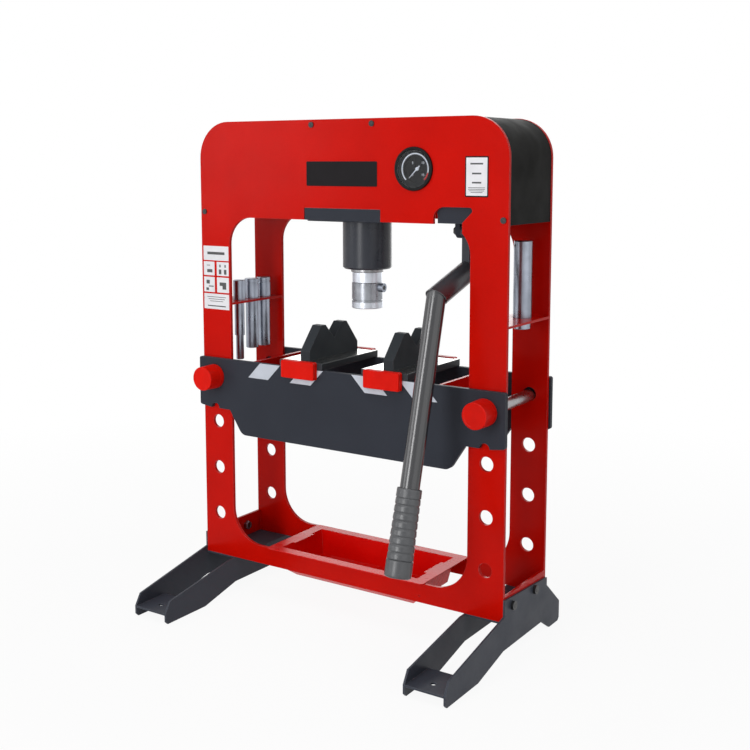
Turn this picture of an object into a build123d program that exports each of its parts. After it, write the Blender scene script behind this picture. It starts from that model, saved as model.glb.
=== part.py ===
"""Bench hydraulic press: a red twin-plate frame on two folded feet, with a height-set bed.

Millimetres, +Z up, +X to the right and +Y to the back, seen from the front.
The origin is on the floor, at mid width and at mid length of the feet.
"""
import math
import os

from build123d import *

# Frame plates
floor_gap = 68.0
frame_width = 643.0
frame_height = 825.0
plate_thickness = 6.0
plate_spacing = 156.0
leg_width = 68.0
head_height = 174.0
sill_height = 34.0
head_corner_radius = 66.0
window_top_radius = 50.0
window_bottom_radius = 64.0

# Holes for the bed pins down the legs
pin_hole_radius = 12.5
pin_hole_first = 82.4
pin_hole_pitch = 90.0
pin_hole_rows = 4
bed_row = 3

# Notch in the front plate that shows the pump
notch_half_width = 36.0
notch_rise = 28.0
notch_drop = 29.0
notch_end_height = 7.0
notch_tongue = 18.0
notch_tip_rise = 3.0
notch_left_radius = 20.0
notch_right_radius = 5.0

# Feet
foot_length = 410.0
foot_reach = 194.0
foot_sheet = 3.5
foot_inner_gap = 4.5
foot_corner = 5.0
toe_face_height = 20.0
toe_slope = 12.0
toe_height = 40.0
toe_pad_setback = 90.0
ankle_height = 10.0
ankle_back_height = 14.0
inner_ankle_setback = 17.0
shoulder_height = 38.0
shoulder_back_height = 28.0
heel_height = 36.0
heel_pad_setback = 13.0
instep_height = 21.0
instep_front = 3.0
instep_back = 14.0
foot_web_height = 20.0
front_web_length = 72.0
rear_web_length = 44.0
bench_hole_radius = 5.0
bench_hole_inset = 28.0

# Bolts between the feet and the lower side webs
side_web_thickness = 5.0
side_web_height = 42.0
foot_bolt_setback = 28.0
foot_bolt_spacing = 84.0
foot_bolt_count = 2
foot_bolt_height = 22.0
foot_bolt_radius = 5.0
foot_bolt_head_radius = 7.5
foot_bolt_head_height = 5.0
foot_nut_radius = 9.0
foot_nut_height = 7.0

# Sheet cover over the head
cover_sheet = 1.5
cover_flange = 14.0
cover_inset = 1.0
cover_bottom_height = 652.0
cover_bolt_inset = 8.0
cover_bolt_offset = 63.0
cover_bolt_radius = 2.5
cover_bolt_head = 2.0

# Cylinder and its carrier block
block_width = 160.0
block_height = 21.0
block_edge = 1.5
cylinder_radius = 44.0
cylinder_length = 88.0
cylinder_edge = 3.0
neck_radius = 40.0
neck_length = 140.0
bore_radius = 33.0
cap_height = 12.0
ring_nut_radius = 54.0
ring_nut_height = 15.0
ring_nut_slots = 4
ring_nut_slot_width = 8.0
ring_nut_slot_depth = 5.0
gland_height = 20.0
gland_lip = 6.4
gland_lip_radius = 29.5

# Ram, its return spring and the tool sleeve
ram_radius = 27.0
ram_show = 24.4
piston_height = 20.0
piston_headroom = 6.0
seal_height = 5.0
seal_depth = 3.0
spring_wire_radius = 2.0
spring_turns = 8
sleeve_radius = 28.0
sleeve_height = 46.6
sleeve_lip_height = 14.0
sleeve_groove = 2.0
spigot_radius = 20.0
spigot_length = 18.0
clamp_screw_radius = 8.0
clamp_screw_head = 8.0
clamp_thread_radius = 5.0

# Pump
lever_inset = 33.5
pump_width = 70.0
pump_depth = 126.0
pump_height = 80.0
pump_clearance = 16.0
pump_corner = 6.0
pump_lip_width = 62.0
pump_lip_depth = 30.0
ear_thickness = 9.0
ear_width = 24.0
plunger_offset = 20.0
plunger_radius = 7.0
plunger_length = 56.0
tongue_thickness = 6.0
tongue_height = 14.0
tongue_foot = 6.0
plunger_pin_radius = 3.0
valve_radius = 9.0
valve_head_height = 15.0
valve_neck_radius = 4.5
valve_neck_length = 15.0
valve_flutes = 8
valve_flute_radius = 1.5
valve_setback = 104.0

# Lever: places are back and up from the pivot
pivot_setback = 50.0
pivot_drop = 13.0
pivot_radius = 5.0
pivot_head_radius = 7.0
pivot_head_height = 6.5
pivot_tail = 4.0
link_thickness = 14.0
link_width = 16.0
link_set = 3.0
hub_radius = 11.5
fork_root = 10.0
arm_angle = 30.0
arm_width = 15.0
arm_overrun = 9.0
socket_tube_top = (16.0, -62.0)
socket_tube_radius = 18.0
handle_bend = (-100.0, -101.0)
handle_end = (-214.0, -530.0)
handle_radius = 16.0
handle_wall = 2.5
handle_solid_length = 30.0
grip_length = 139.0
grip_radius = 21.0
grip_neck_radius = 18.3
grip_collar = 16.0
grip_edge = 3.0
grip_taper = 0.2
grip_ribs = 7
grip_end_thickness = 6.0

# Oil lines
oil_pipe_radius = 4.0
oil_pipe_bend = 20.0
gauge_pipe_radius = 3.0
gauge_pipe_bend = 14.0

# Pressure gauge
gauge_x = 146.5
gauge_height = 740.5
gauge_case_radius = 33.0
gauge_wall = 2.5
gauge_depth = 28.0
bezel_radius = 36.5
bezel_height = 4.0
bezel_edge = 1.5
glass_setback = 1.0
glass_thickness = 1.5
glass_edge = 1.0
dial_depth = 12.0
dial_thickness = 1.5
dial_pillar_radius = 10.0
needle_length = 22.0
needle_tail = 7.0
needle_width = 2.2
needle_thickness = 0.8
needle_lift = 2.0
needle_hub_radius = 3.0
spindle_radius = 1.5
spindle_length = 5.0
needle_zero = 225.0

# Bed
bed_overhang = 3.5
bed_depth = 140.5
bed_thickness = 8.0
bed_top_above_pin = 35.0
bed_end_drop = 92.0
bed_lobe_drop = 4.0
bed_shoulder_gap = 1.5
bed_belly_inset = 29.0
bed_belly_radius = 18.0
bed_end_radius = 4.0
bed_notch_radius = 9.5
bed_web_inset = 50.0
bed_web_thickness = 6.0
bed_web_height = 100.0
bed_web_drop = 0.5

# Bed pins with their knobs
pin_radius = 10.5
pin_overrun = 6.0
pin_taper = 3.0
knob_radius = 23.0
knob_length = 36.0
knob_edge = 2.5
knob_bore_depth = 24.0

# V-blocks that slide along the bed
left_v_place = -84.0
right_v_place = 94.0
v_base_width = 94.0
v_base_thickness = 12.5
v_plate_thickness = 20.0
v_plate_height = 59.5
v_plate_half_foot = 76.0
v_plate_foot_height = 17.0
v_plate_half_top = 40.0
v_half_width = 26.5
grip_block_width = 73.0
grip_block_height = 32.0
grip_block_depth = 12.0
grip_block_rise = 1.5
grip_block_radius = 3.0
grip_block_edge = 2.0

# Punches and their racks
rack_height = 491.0
rack_thickness = 4.0
punch_row_inset = 21.5
punch_row_setback = 7.0
punch_pitch = 37.0
punch_shank_radius = 12.0
punch_shank_length = 97.0
punch_head_radius = 13.5
punch_head_height = 38.0
punch_groove_height = 28.0
punch_groove_depth = 1.2
punch_groove_width = 3.0
slim_head_radius = 11.5
slim_shank_radius = 9.5
slim_shank_length = 68.0
slim_pin_radius = 7.5
slim_pin_length = 47.0
large_punch_inset = 36.5
large_punch_setback = 37.0
large_head_radius = 15.7
large_head_height = 130.0
large_shank_radius = 14.5
large_shank_length = 19.0

# Drip tray
tray_length = 340.0
tray_width = 166.0
tray_sheet = 1.5
tray_overhang = 6.0
tray_corner = 6.0
tray_opening_length = 300.0
tray_opening_width = 130.0
tray_fold_height = 44.0
tray_fold_inset = 9.0
tray_depth = 54.0
tray_floor_inset = 21.0
tray_tab_width = 60.0
tray_tab_reach = 8.0

# Clearances and broken edges
seat_gap = 0.1
side_play = 0.4
running_gap = 0.06
slot_play = 0.7
bolt_gap = 0.3
edge = 1.0

# Places that follow from the sizes above
half_width = frame_width / 2
frame_top = floor_gap + frame_height
front_y = foot_reach - foot_length / 2
inner_y = front_y + plate_thickness
rear_y = front_y + plate_spacing
back_y = rear_y + plate_thickness
mid_y = (front_y + back_y) / 2
window_half = half_width - leg_width
leg_x = half_width - leg_width / 2
lever_x = window_half - lever_inset
window_bottom = floor_gap + sill_height
window_top = frame_top - head_height
toe_y = -foot_length / 2
heel_y = foot_length / 2
foot_inner_x = window_half - foot_inner_gap
foot_bolt_z = floor_gap + foot_bolt_height
foot_bolt_ys = [front_y + foot_bolt_setback + step * foot_bolt_spacing
                for step in range(foot_bolt_count)]
block_top = window_top + block_height
cylinder_bottom = window_top - cylinder_length
neck_top = window_top + neck_length
cap_port_z = neck_top + cap_height / 2
gland_top = cylinder_bottom + gland_height
piston_top = neck_top - piston_headroom
piston_low = piston_top - piston_height
seal_low = piston_low + (piston_height - seal_height) / 2
piston_radius = bore_radius - running_gap
sleeve_top = cylinder_bottom - ram_show
sleeve_bottom = sleeve_top - sleeve_height
spigot_low = sleeve_top - spigot_length
clamp_z = sleeve_top - spigot_length / 2
socket_radius = large_shank_radius + seat_gap
pivot_y = front_y + pivot_setback
pivot_z = window_top - pivot_drop
pump_left = lever_x - pump_width / 2
pump_bottom = window_top + pump_clearance
pump_top = pump_bottom + pump_height
plunger_y = pivot_y + plunger_offset
plunger_pin_z = pivot_z + plunger_offset * math.tan(math.radians(arm_angle))
plunger_shoulder = plunger_pin_z + tongue_height
plunger_top = plunger_shoulder + plunger_length
arm_reach = plunger_offset / math.cos(math.radians(arm_angle))
valve_y = inner_y + valve_setback
gauge_z = floor_gap + gauge_height
gauge_back = front_y + gauge_depth
dial_y = front_y + dial_depth
dial_radius = gauge_case_radius - gauge_wall
bed_pin_z = (floor_gap + pin_hole_first + bed_row * pin_hole_pitch
             - pin_hole_radius + pin_radius + seat_gap)
bed_top = bed_pin_z + bed_top_above_pin
bed_half_width = half_width + bed_overhang
bed_shoulder_x = window_half - bed_shoulder_gap
bed_web_x = bed_shoulder_x - bed_web_inset
bed_front_y = front_y - side_play - bed_thickness
bed_rear_y = back_y + side_play
v_base_front = bed_front_y - side_play
v_base_back = bed_rear_y + bed_thickness + side_play
v_base_low = bed_top + seat_gap
v_base_top = v_base_low + v_base_thickness
rack_top = floor_gap + rack_height
punch_row_x = -window_half - punch_row_inset
punch_row_y = mid_y + punch_row_setback
large_punch_x = window_half + large_punch_inset
large_punch_y = mid_y + large_punch_setback
tray_front = front_y - tray_overhang
tray_y = tray_front + tray_width / 2


def block(x_span, y_span, z_span):
    """A box between two values along each axis."""
    spans = (x_span, y_span, z_span)
    centre = tuple((low + high) / 2 for low, high in spans)
    return Pos(*centre) * Box(*(high - low for low, high in spans))


def rod(start, end, radius):
    """A round bar from one point to another."""
    line = Vector(*end) - Vector(*start)
    plane = Plane(origin=start, z_dir=line)
    return plane * Cylinder(radius, line.length, align=(Align.CENTER, Align.CENTER, Align.MIN))


def ring(start, end, outer, inner):
    """A round tube from one point to another."""
    return rod(start, end, outer) - rod(start, end, inner)


def hexagon(start, direction, radius, height):
    """A six-sided bar from a point along a direction."""
    plane = Plane(origin=start, z_dir=direction)
    return extrude(plane * RegularPolygon(radius, 6), height)


def polygon(points):
    """A flat face with the given corners."""
    return make_face(Polyline(*points, close=True))


def front_plate(face, y, thickness):
    """A face drawn in X and Z, given thickness from y towards the back."""
    plane = Plane(origin=(0, y + thickness, 0), x_dir=(1, 0, 0), z_dir=(0, -1, 0))
    return extrude(plane * face, thickness)


def side_plate(face, x, thickness):
    """A face drawn in Y and Z, given thickness from x towards the right."""
    plane = Plane(origin=(x, 0, 0), x_dir=(0, 1, 0), z_dir=(1, 0, 0))
    return extrude(plane * face, thickness)


def turned(points, origin, axis):
    """A solid of revolution; points are a radius and a distance along the axis."""
    across = Vector(*axis).cross(Vector(0, 0, 1))
    if across.length == 0:
        across = Vector(1, 0, 0)
    plane = Plane(origin=origin, x_dir=across, z_dir=across.cross(Vector(*axis)))
    return revolve(plane * polygon(points), Axis(origin, axis))


def mirror_x(shape):
    """The same shape on the left of the machine."""
    return mirror(shape, about=Plane.YZ)


def both_sides(shapes):
    """A group of right-hand solids together with their mirror images."""
    return Compound(children=list(shapes) + [mirror_x(shape) for shape in shapes])


def frame_outline():
    """The outside of a frame plate, round at the head and square at the sill."""
    outline = Pos(0, floor_gap + frame_height / 2) * Rectangle(frame_width, frame_height)
    return fillet(outline.vertices().group_by(Axis.Y)[-1], head_corner_radius)


def frame_window():
    """The opening of a frame plate, with wide round corners."""
    height = window_top - window_bottom
    window = Pos(0, window_bottom + height / 2) * Rectangle(2 * window_half, height)
    window = fillet(window.vertices().group_by(Axis.Y)[0], window_bottom_radius)
    return fillet(window.vertices().group_by(Axis.Y)[-1], window_top_radius)


def lever_notch():
    """The arched notch over the lever, which leaves a tongue of plate at its right."""
    left = lever_x - notch_half_width
    right = lever_x + notch_half_width
    tongue = lever_x + notch_tongue
    roof = window_top + notch_rise
    low = window_top - notch_drop
    outline = polygon([(left, low), (left, roof), (right, roof), (right, roof - notch_end_height),
                       (tongue, window_top + notch_tip_rise), (tongue, low)])
    roof_corners = outline.vertices().group_by(Axis.Y)[-1].sort_by(Axis.X)
    outline = fillet(roof_corners[0], notch_left_radius)
    return fillet(outline.vertices().group_by(Axis.Y)[-1].sort_by(Axis.X)[-1], notch_right_radius)


def cover_bolt_places():
    """Where the cover is bolted through each plate, in X and Z."""
    side = half_width - cover_inset - cover_bolt_inset
    top = frame_top - cover_inset - cover_bolt_inset
    low = floor_gap + cover_bottom_height + cover_bolt_inset
    return [(-cover_bolt_offset, top), (cover_bolt_offset, top), (-side, low), (side, low)]


def frame_face():
    """A frame plate as cut: outline, window, block notch and the pin holes of both legs."""
    face = frame_outline() - frame_window()
    face -= Pos(0, window_top) * Rectangle(block_width + 2 * side_play, 2 * block_height)
    for row in range(pin_hole_rows):
        z = floor_gap + pin_hole_first + row * pin_hole_pitch
        for x in (-leg_x, leg_x):
            face -= Pos(x, z) * Circle(pin_hole_radius)
    for x, z in cover_bolt_places():
        face -= Pos(x, z) * Circle(cover_bolt_radius + bolt_gap)
    return face


def make_front_frame_plate():
    """The front plate, which also has the lever notch and the gauge's hole."""
    face = frame_face() - lever_notch()
    face -= Pos(gauge_x, gauge_z) * Circle(gauge_case_radius + bolt_gap)
    return front_plate(face, front_y, plate_thickness)


def make_side_web():
    """The right-hand web that ties the two plates together at the bottom of the legs."""
    inner = half_width - side_web_thickness
    web = block((inner, half_width), (inner_y, rear_y), (floor_gap, floor_gap + side_web_height))
    for y in foot_bolt_ys:
        web -= rod((inner, y, foot_bolt_z), (half_width, y, foot_bolt_z),
                   foot_bolt_radius + bolt_gap)
    return web


def foot_side(top):
    """The side of a foot in Y and Z: toe pad, arched instep and heel, under a given top edge."""
    toe = [(toe_y + foot_corner, 0), (toe_y, foot_corner), (toe_y, toe_face_height),
           (toe_y + toe_slope, toe_height)]
    heel = [(heel_y, heel_height), (heel_y, foot_corner), (heel_y - foot_corner, 0)]
    instep = [(back_y + heel_pad_setback, 0), (rear_y - instep_back, instep_height),
              (front_y - instep_front, instep_height), (front_y - toe_pad_setback, 0)]
    return polygon(toe + top + heel + instep)


def make_foot():
    """The right-hand foot, folded from sheet: two sides and the webs between them."""
    outer = foot_side([(front_y, floor_gap + ankle_height),
                       (front_y, floor_gap + shoulder_height),
                       (back_y, floor_gap + shoulder_back_height),
                       (back_y, floor_gap + ankle_back_height)])
    inner = foot_side([(front_y - inner_ankle_setback, floor_gap), (back_y, floor_gap)])
    foot = side_plate(outer, half_width, foot_sheet) + side_plate(inner, foot_inner_x, foot_sheet)
    web_x = (foot_inner_x, half_width + foot_sheet)
    low = foot_web_height - foot_sheet
    foot += block(web_x, (front_y, back_y), (floor_gap - foot_sheet, floor_gap))
    foot += block(web_x, (toe_y, toe_y + front_web_length), (low, foot_web_height))
    foot += block(web_x, (heel_y - rear_web_length, heel_y), (low, foot_web_height))
    for y in (toe_y + bench_hole_inset, heel_y - bench_hole_inset):
        foot -= rod((leg_x, y, low), (leg_x, y, foot_web_height), bench_hole_radius)
    for y in foot_bolt_ys:
        foot -= rod((half_width, y, foot_bolt_z), (half_width + foot_sheet, y, foot_bolt_z),
                    foot_bolt_radius + bolt_gap)
    return foot


def make_foot_bolt(y):
    """A socket-head bolt on the right, through the foot and the side web."""
    face = half_width + foot_sheet
    end = half_width - side_web_thickness - foot_nut_height
    top = face + foot_bolt_head_height
    head = rod((face, y, foot_bolt_z), (top, y, foot_bolt_z), foot_bolt_head_radius)
    head -= hexagon((top, y, foot_bolt_z), (-1, 0, 0), foot_bolt_head_radius / 2,
                    foot_bolt_head_height / 2)
    return head + rod((end, y, foot_bolt_z), (face, y, foot_bolt_z), foot_bolt_radius)


def make_foot_nut(y):
    """The hexagon nut of a foot bolt, inside the side web."""
    face = half_width - side_web_thickness
    nut = hexagon((face, y, foot_bolt_z), (-1, 0, 0), foot_nut_radius, foot_nut_height)
    return nut - rod((face - foot_nut_height, y, foot_bolt_z), (face, y, foot_bolt_z),
                     foot_bolt_radius)


def make_top_cover():
    """A folded sheet that closes the sides and top of the head, with a flange on each plate."""
    depth = rear_y - inner_y
    cover = front_plate(offset(frame_outline(), -cover_inset), inner_y, depth)
    cover -= front_plate(offset(frame_outline(), -cover_inset - cover_flange), inner_y, depth)
    cover -= front_plate(offset(frame_outline(), -cover_inset - cover_sheet),
                         inner_y + cover_sheet, depth - 2 * cover_sheet)
    cover -= block((-half_width, half_width), (inner_y, rear_y),
                   (0, floor_gap + cover_bottom_height))
    for x, z in cover_bolt_places():
        cover -= rod((x, inner_y, z), (x, rear_y, z), cover_bolt_radius + bolt_gap)
    return cover


def make_cover_bolts():
    """The cover's bolts, four through each frame plate."""
    bolts = []
    for x, z in cover_bolt_places():
        for inside, outside, out in ((inner_y + cover_sheet, front_y, -cover_bolt_head),
                                     (rear_y - cover_sheet, back_y, cover_bolt_head)):
            shank = rod((x, inside, z), (x, outside, z), cover_bolt_radius)
            head = rod((x, outside, z), (x, outside + out, z), 2 * cover_bolt_radius)
            bolts.append(shank + head)
    return Compound(children=bolts)


def make_cylinder_block():
    """The thick block that carries the cylinder in the notches of both plates."""
    carrier = block((-block_width / 2, block_width / 2), (front_y, back_y),
                    (window_top, block_top))
    carrier = chamfer(carrier.edges().filter_by(Axis.Z), block_edge)
    return carrier - rod((0, mid_y, window_top), (0, mid_y, block_top), neck_radius)


def make_cylinder_barrel():
    """The cylinder: a wide lower body, a shoulder under the block and a neck through it."""
    profile = [(bore_radius, cylinder_bottom), (cylinder_radius - cylinder_edge, cylinder_bottom),
               (cylinder_radius, cylinder_bottom + cylinder_edge), (cylinder_radius, window_top),
               (neck_radius, window_top), (neck_radius, neck_top), (bore_radius, neck_top)]
    return turned(profile, (0, mid_y, 0), (0, 0, 1))


def make_cylinder_cap():
    """The plug on top of the cylinder, with an oil port on its right."""
    top = neck_top + cap_height
    profile = [(0, neck_top), (neck_radius, neck_top), (neck_radius, top - edge),
               (neck_radius - edge, top), (0, top)]
    cap = turned(profile, (0, mid_y, 0), (0, 0, 1))
    return cap - rod((bore_radius, mid_y, cap_port_z), (neck_radius + edge, mid_y, cap_port_z),
                     oil_pipe_radius / 2)


def make_cylinder_nut():
    """The ring nut that holds the cylinder's shoulder up against the block."""
    top = block_top + ring_nut_height
    nut = ring((0, mid_y, block_top), (0, mid_y, top), ring_nut_radius, neck_radius)
    slot = Pos(ring_nut_radius, 0, block_top + ring_nut_height / 2) * Box(
        2 * ring_nut_slot_depth, ring_nut_slot_width, ring_nut_height)
    for step in range(ring_nut_slots):
        nut -= Pos(0, mid_y, 0) * Rot(0, 0, 360 * (step + 0.5) / ring_nut_slots) * slot
    return nut


def make_cylinder_gland():
    """The bush that closes the cylinder's lower end and guides the ram."""
    lip = cylinder_bottom - gland_lip
    bore = ram_radius + running_gap
    profile = [(bore, lip), (gland_lip_radius - edge, lip), (gland_lip_radius, lip + edge),
               (gland_lip_radius, cylinder_bottom), (bore_radius, cylinder_bottom),
               (bore_radius, gland_top), (bore, gland_top)]
    return turned(profile, (0, mid_y, 0), (0, 0, 1))


def make_ram():
    """The ram: a chromed rod with its piston above and the sleeve's spigot below."""
    groove = piston_radius - seal_depth
    profile = [(0, spigot_low), (spigot_radius - edge, spigot_low),
               (spigot_radius, spigot_low + edge), (spigot_radius, sleeve_top),
               (ram_radius, sleeve_top), (ram_radius, piston_low), (piston_radius, piston_low),
               (piston_radius, seal_low), (groove, seal_low), (groove, seal_low + seal_height),
               (piston_radius, seal_low + seal_height), (piston_radius, piston_top),
               (0, piston_top)]
    return turned(profile, (0, mid_y, 0), (0, 0, 1))


def make_piston_seal():
    """The seal ring in the piston's groove."""
    return ring((0, mid_y, seal_low), (0, mid_y, seal_low + seal_height),
                piston_radius, piston_radius - seal_depth)


def make_return_spring():
    """The coil spring between the gland and the piston, which lifts the ram again."""
    low = gland_top + spring_wire_radius + seat_gap
    height = piston_low - spring_wire_radius - seat_gap - low
    path = Helix(height / spring_turns, height, (ram_radius + bore_radius) / 2)
    section = Plane(origin=path @ 0, z_dir=path % 0) * RegularPolygon(spring_wire_radius, 6)
    return Pos(0, mid_y, low) * sweep(section, path, is_frenet=True)


def make_tool_sleeve():
    """The sleeve on the ram's end: spigot bore above, tool socket below, and a lip."""
    lip = sleeve_bottom + sleeve_lip_height
    groove = sleeve_radius - sleeve_groove
    profile = [(socket_radius + edge, sleeve_bottom), (sleeve_radius - edge, sleeve_bottom),
               (sleeve_radius, sleeve_bottom + edge), (sleeve_radius, lip), (groove, lip),
               (groove, lip + sleeve_groove), (sleeve_radius, lip + sleeve_groove),
               (sleeve_radius, sleeve_top - edge), (sleeve_radius - edge, sleeve_top),
               (spigot_radius, sleeve_top), (spigot_radius, spigot_low),
               (socket_radius, spigot_low), (socket_radius, sleeve_bottom + edge)]
    sleeve = turned(profile, (0, mid_y, 0), (0, 0, 1))
    return sleeve - rod((0, mid_y, clamp_z), (sleeve_radius + edge, mid_y, clamp_z),
                        clamp_thread_radius)


def make_clamp_screw():
    """The socket-head screw that holds the sleeve on the spigot."""
    tip = sleeve_radius + clamp_screw_head
    screw = rod((spigot_radius, mid_y, clamp_z), (tip, mid_y, clamp_z), clamp_screw_radius)
    screw -= rod((0, mid_y, spigot_low), (0, mid_y, sleeve_top), sleeve_radius)
    screw += rod((spigot_radius + seat_gap, mid_y, clamp_z), (tip, mid_y, clamp_z),
                 clamp_thread_radius)
    return screw - hexagon((tip, mid_y, clamp_z), (-1, 0, 0), clamp_screw_radius / 2,
                           clamp_screw_head / 2)


def pump_ear():
    """An ear of the pump in Y and Z, with the hole of the lever's pivot bolt."""
    ear = Pos(pivot_y, pivot_z) * Circle(ear_width / 2)
    ear += Pos(pivot_y, (pivot_z + pump_bottom) / 2) * Rectangle(ear_width, pump_bottom - pivot_z)
    return ear - Pos(pivot_y, pivot_z) * Circle(pivot_radius + running_gap)


def make_pump_body():
    """The cast pump: a body behind the front plate, a lip below it and two ears."""
    body = block((pump_left, pump_left + pump_width), (inner_y, inner_y + pump_depth),
                 (pump_bottom, pump_top))
    body = fillet(body.edges().filter_by(Axis.Z), pump_corner)
    body += block((lever_x - pump_lip_width / 2, lever_x + pump_lip_width / 2),
                  (inner_y, inner_y + pump_lip_depth), (window_top + edge, pump_bottom))
    reach = link_thickness / 2 + side_play
    body += side_plate(pump_ear(), lever_x + reach, ear_thickness)
    body += side_plate(pump_ear(), lever_x - reach - ear_thickness, ear_thickness)
    body -= rod((lever_x, plunger_y, pump_bottom), (lever_x, plunger_y, plunger_top + edge),
                plunger_radius + running_gap)
    return body - rod((lever_x, valve_y, pump_bottom),
                      (lever_x, valve_y, pump_bottom + valve_neck_length + edge),
                      valve_neck_radius + running_gap)


def make_release_valve():
    """The release screw under the pump, with a fluted head."""
    shoulder = pump_bottom - seat_gap
    low = shoulder - valve_head_height
    end = shoulder + valve_neck_length
    profile = [(0, low), (valve_radius - edge, low), (valve_radius, low + edge),
               (valve_radius, shoulder), (valve_neck_radius, shoulder),
               (valve_neck_radius, end - edge), (valve_neck_radius - edge, end), (0, end)]
    valve = turned(profile, (lever_x, valve_y, 0), (0, 0, 1))
    for step in range(valve_flutes):
        flute = Pos(valve_radius, 0, low + valve_head_height / 2) * Cylinder(
            valve_flute_radius, valve_head_height)
        valve -= Pos(lever_x, valve_y, 0) * Rot(0, 0, 360 * step / valve_flutes) * flute
    return valve


def make_pump_plunger():
    """The plunger: a round rod with a flat tongue at its lower end."""
    low = plunger_pin_z - tongue_foot
    plunger = rod((lever_x, plunger_y, low), (lever_x, plunger_y, plunger_top), plunger_radius)
    tongue = block((lever_x - tongue_thickness / 2, lever_x + tongue_thickness / 2),
                   (plunger_y - plunger_radius, plunger_y + plunger_radius),
                   (low, plunger_shoulder))
    foot = rod((lever_x, plunger_y, low), (lever_x, plunger_y, plunger_shoulder), plunger_radius)
    plunger -= foot - tongue
    return plunger - rod((lever_x - plunger_radius, plunger_y, plunger_pin_z),
                         (lever_x + plunger_radius, plunger_y, plunger_pin_z),
                         plunger_pin_radius)


def make_plunger_pin():
    """The cross pin that joins the plunger to the lever's forked arm."""
    half = link_thickness / 2
    return rod((lever_x - half, plunger_y, plunger_pin_z),
               (lever_x + half, plunger_y, plunger_pin_z), plunger_pin_radius)


def make_pivot_bolt():
    """The lever's pivot bolt through both ears, with its head on the left."""
    outer = link_thickness / 2 + side_play + ear_thickness
    left = lever_x - outer
    bolt = rod((left, pivot_y, pivot_z), (lever_x + outer + pivot_tail, pivot_y, pivot_z),
               pivot_radius)
    return bolt + hexagon((left, pivot_y, pivot_z), (-1, 0, 0), pivot_head_radius,
                          pivot_head_height)


def lever_point(place):
    """A point in the lever's plane, from its place back and up from the pivot."""
    return Vector(lever_x, pivot_y + place[0], pivot_z + place[1])


def lever_way(start, end):
    """The direction from one place of the lever to another."""
    return (lever_point(end) - lever_point(start)).normalized()


def mitre_plane():
    """The plane that halves the lever's bend, facing down the handle."""
    way = lever_way(socket_tube_top, handle_bend) + lever_way(handle_bend, handle_end)
    return Plane(origin=lever_point(handle_bend), z_dir=way)


def socket_tube():
    """The short upper tube as a bar, cut at the mitre."""
    past = lever_way(socket_tube_top, handle_bend) * (2 * socket_tube_radius)
    bar = rod(lever_point(socket_tube_top), lever_point(handle_bend) + past, socket_tube_radius)
    return split(bar, mitre_plane(), keep=Keep.BOTTOM)


def handle_tube():
    """The long lower tube as a bar, cut at the mitre."""
    way = lever_way(handle_bend, handle_end)
    bar = rod(lever_point(handle_bend) - way * (2 * handle_radius),
              lever_point(handle_end) - way * grip_end_thickness, handle_radius)
    return split(bar, mitre_plane(), keep=Keep.TOP)


def on_arm(shape):
    """A shape drawn along the lever's arm, turned and moved to the pivot."""
    return Pos(pivot_y, pivot_z) * Rot(0, 0, arm_angle) * shape


def make_lever_link():
    """The flat link: it hangs from the pivot to the socket tube and forks round the plunger."""
    length = -socket_tube_top[1]
    hub = Pos(pivot_y, pivot_z) * Circle(hub_radius)
    bar = Pos(pivot_y + link_set, pivot_z - length / 2) * Rectangle(link_width, length)
    arm_length = arm_reach + arm_overrun
    arm = on_arm(Pos(arm_length / 2, 0) * Rectangle(arm_length, arm_width))
    left = lever_x - link_thickness / 2
    link = side_plate(hub + bar + arm, left, link_thickness)
    link -= rod((left, pivot_y, pivot_z), (left + link_thickness, pivot_y, pivot_z),
                pivot_radius + running_gap)
    fork = on_arm(Pos(fork_root + arm_length / 2, 0) * Rectangle(arm_length, 2 * arm_width))
    gap = tongue_thickness + 2 * side_play
    link -= side_plate(fork, lever_x - gap / 2, gap)
    slot = on_arm(Pos((plunger_offset + arm_reach) / 2, 0) * SlotCenterToCenter(
        arm_reach - plunger_offset + edge, 2 * (plunger_pin_radius + slot_play)))
    link -= side_plate(slot, left, link_thickness)
    return link - socket_tube()


def make_lever_tube():
    """The mitred lever: a short wide tube welded to a long handle tube."""
    way = lever_way(handle_bend, handle_end)
    bore_start = lever_point(handle_bend) + way * handle_solid_length
    tube = socket_tube() + handle_tube()
    return tube - rod(bore_start, lever_point(handle_end), handle_radius - handle_wall)


def make_lever_grip():
    """The ribbed grip: a closed sleeve with a collar and rounded ribs."""
    way = lever_way(handle_bend, handle_end)
    inner = handle_radius + running_gap
    pitch = (grip_length - grip_collar) / grip_ribs
    profile = [(inner, 0), (grip_radius - grip_edge, 0), (grip_radius, grip_edge),
               (grip_radius, grip_collar - grip_edge), (grip_neck_radius, grip_collar)]
    for rib in range(grip_ribs):
        start = grip_collar + rib * pitch
        crown = grip_radius - grip_taper * (rib + 1)
        profile += [(crown, start + pitch / 4), (crown, start + pitch * 3 / 4),
                    (grip_neck_radius, start + pitch)]
    floor = grip_length - grip_end_thickness + seat_gap
    profile += [(0, grip_length), (0, floor), (inner, floor)]
    return turned(profile, lever_point(handle_end) - way * grip_length, tuple(way))


def pipe(points, radius, bend):
    """A round pipe along straight runs with rounded bends."""
    path = FilletPolyline(*points, radius=bend)
    return sweep(Plane(origin=path @ 0, z_dir=path % 0) * Circle(radius), path)


def make_oil_pipe():
    """The oil line from the pump's left face to the cap of the cylinder."""
    start_z = pump_bottom + pump_height / 2
    riser_x = (neck_radius + pump_left) / 2
    return pipe([(pump_left, mid_y, start_z), (riser_x, mid_y, start_z),
                 (riser_x, mid_y, cap_port_z), (neck_radius, mid_y, cap_port_z)],
                oil_pipe_radius, oil_pipe_bend)


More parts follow.
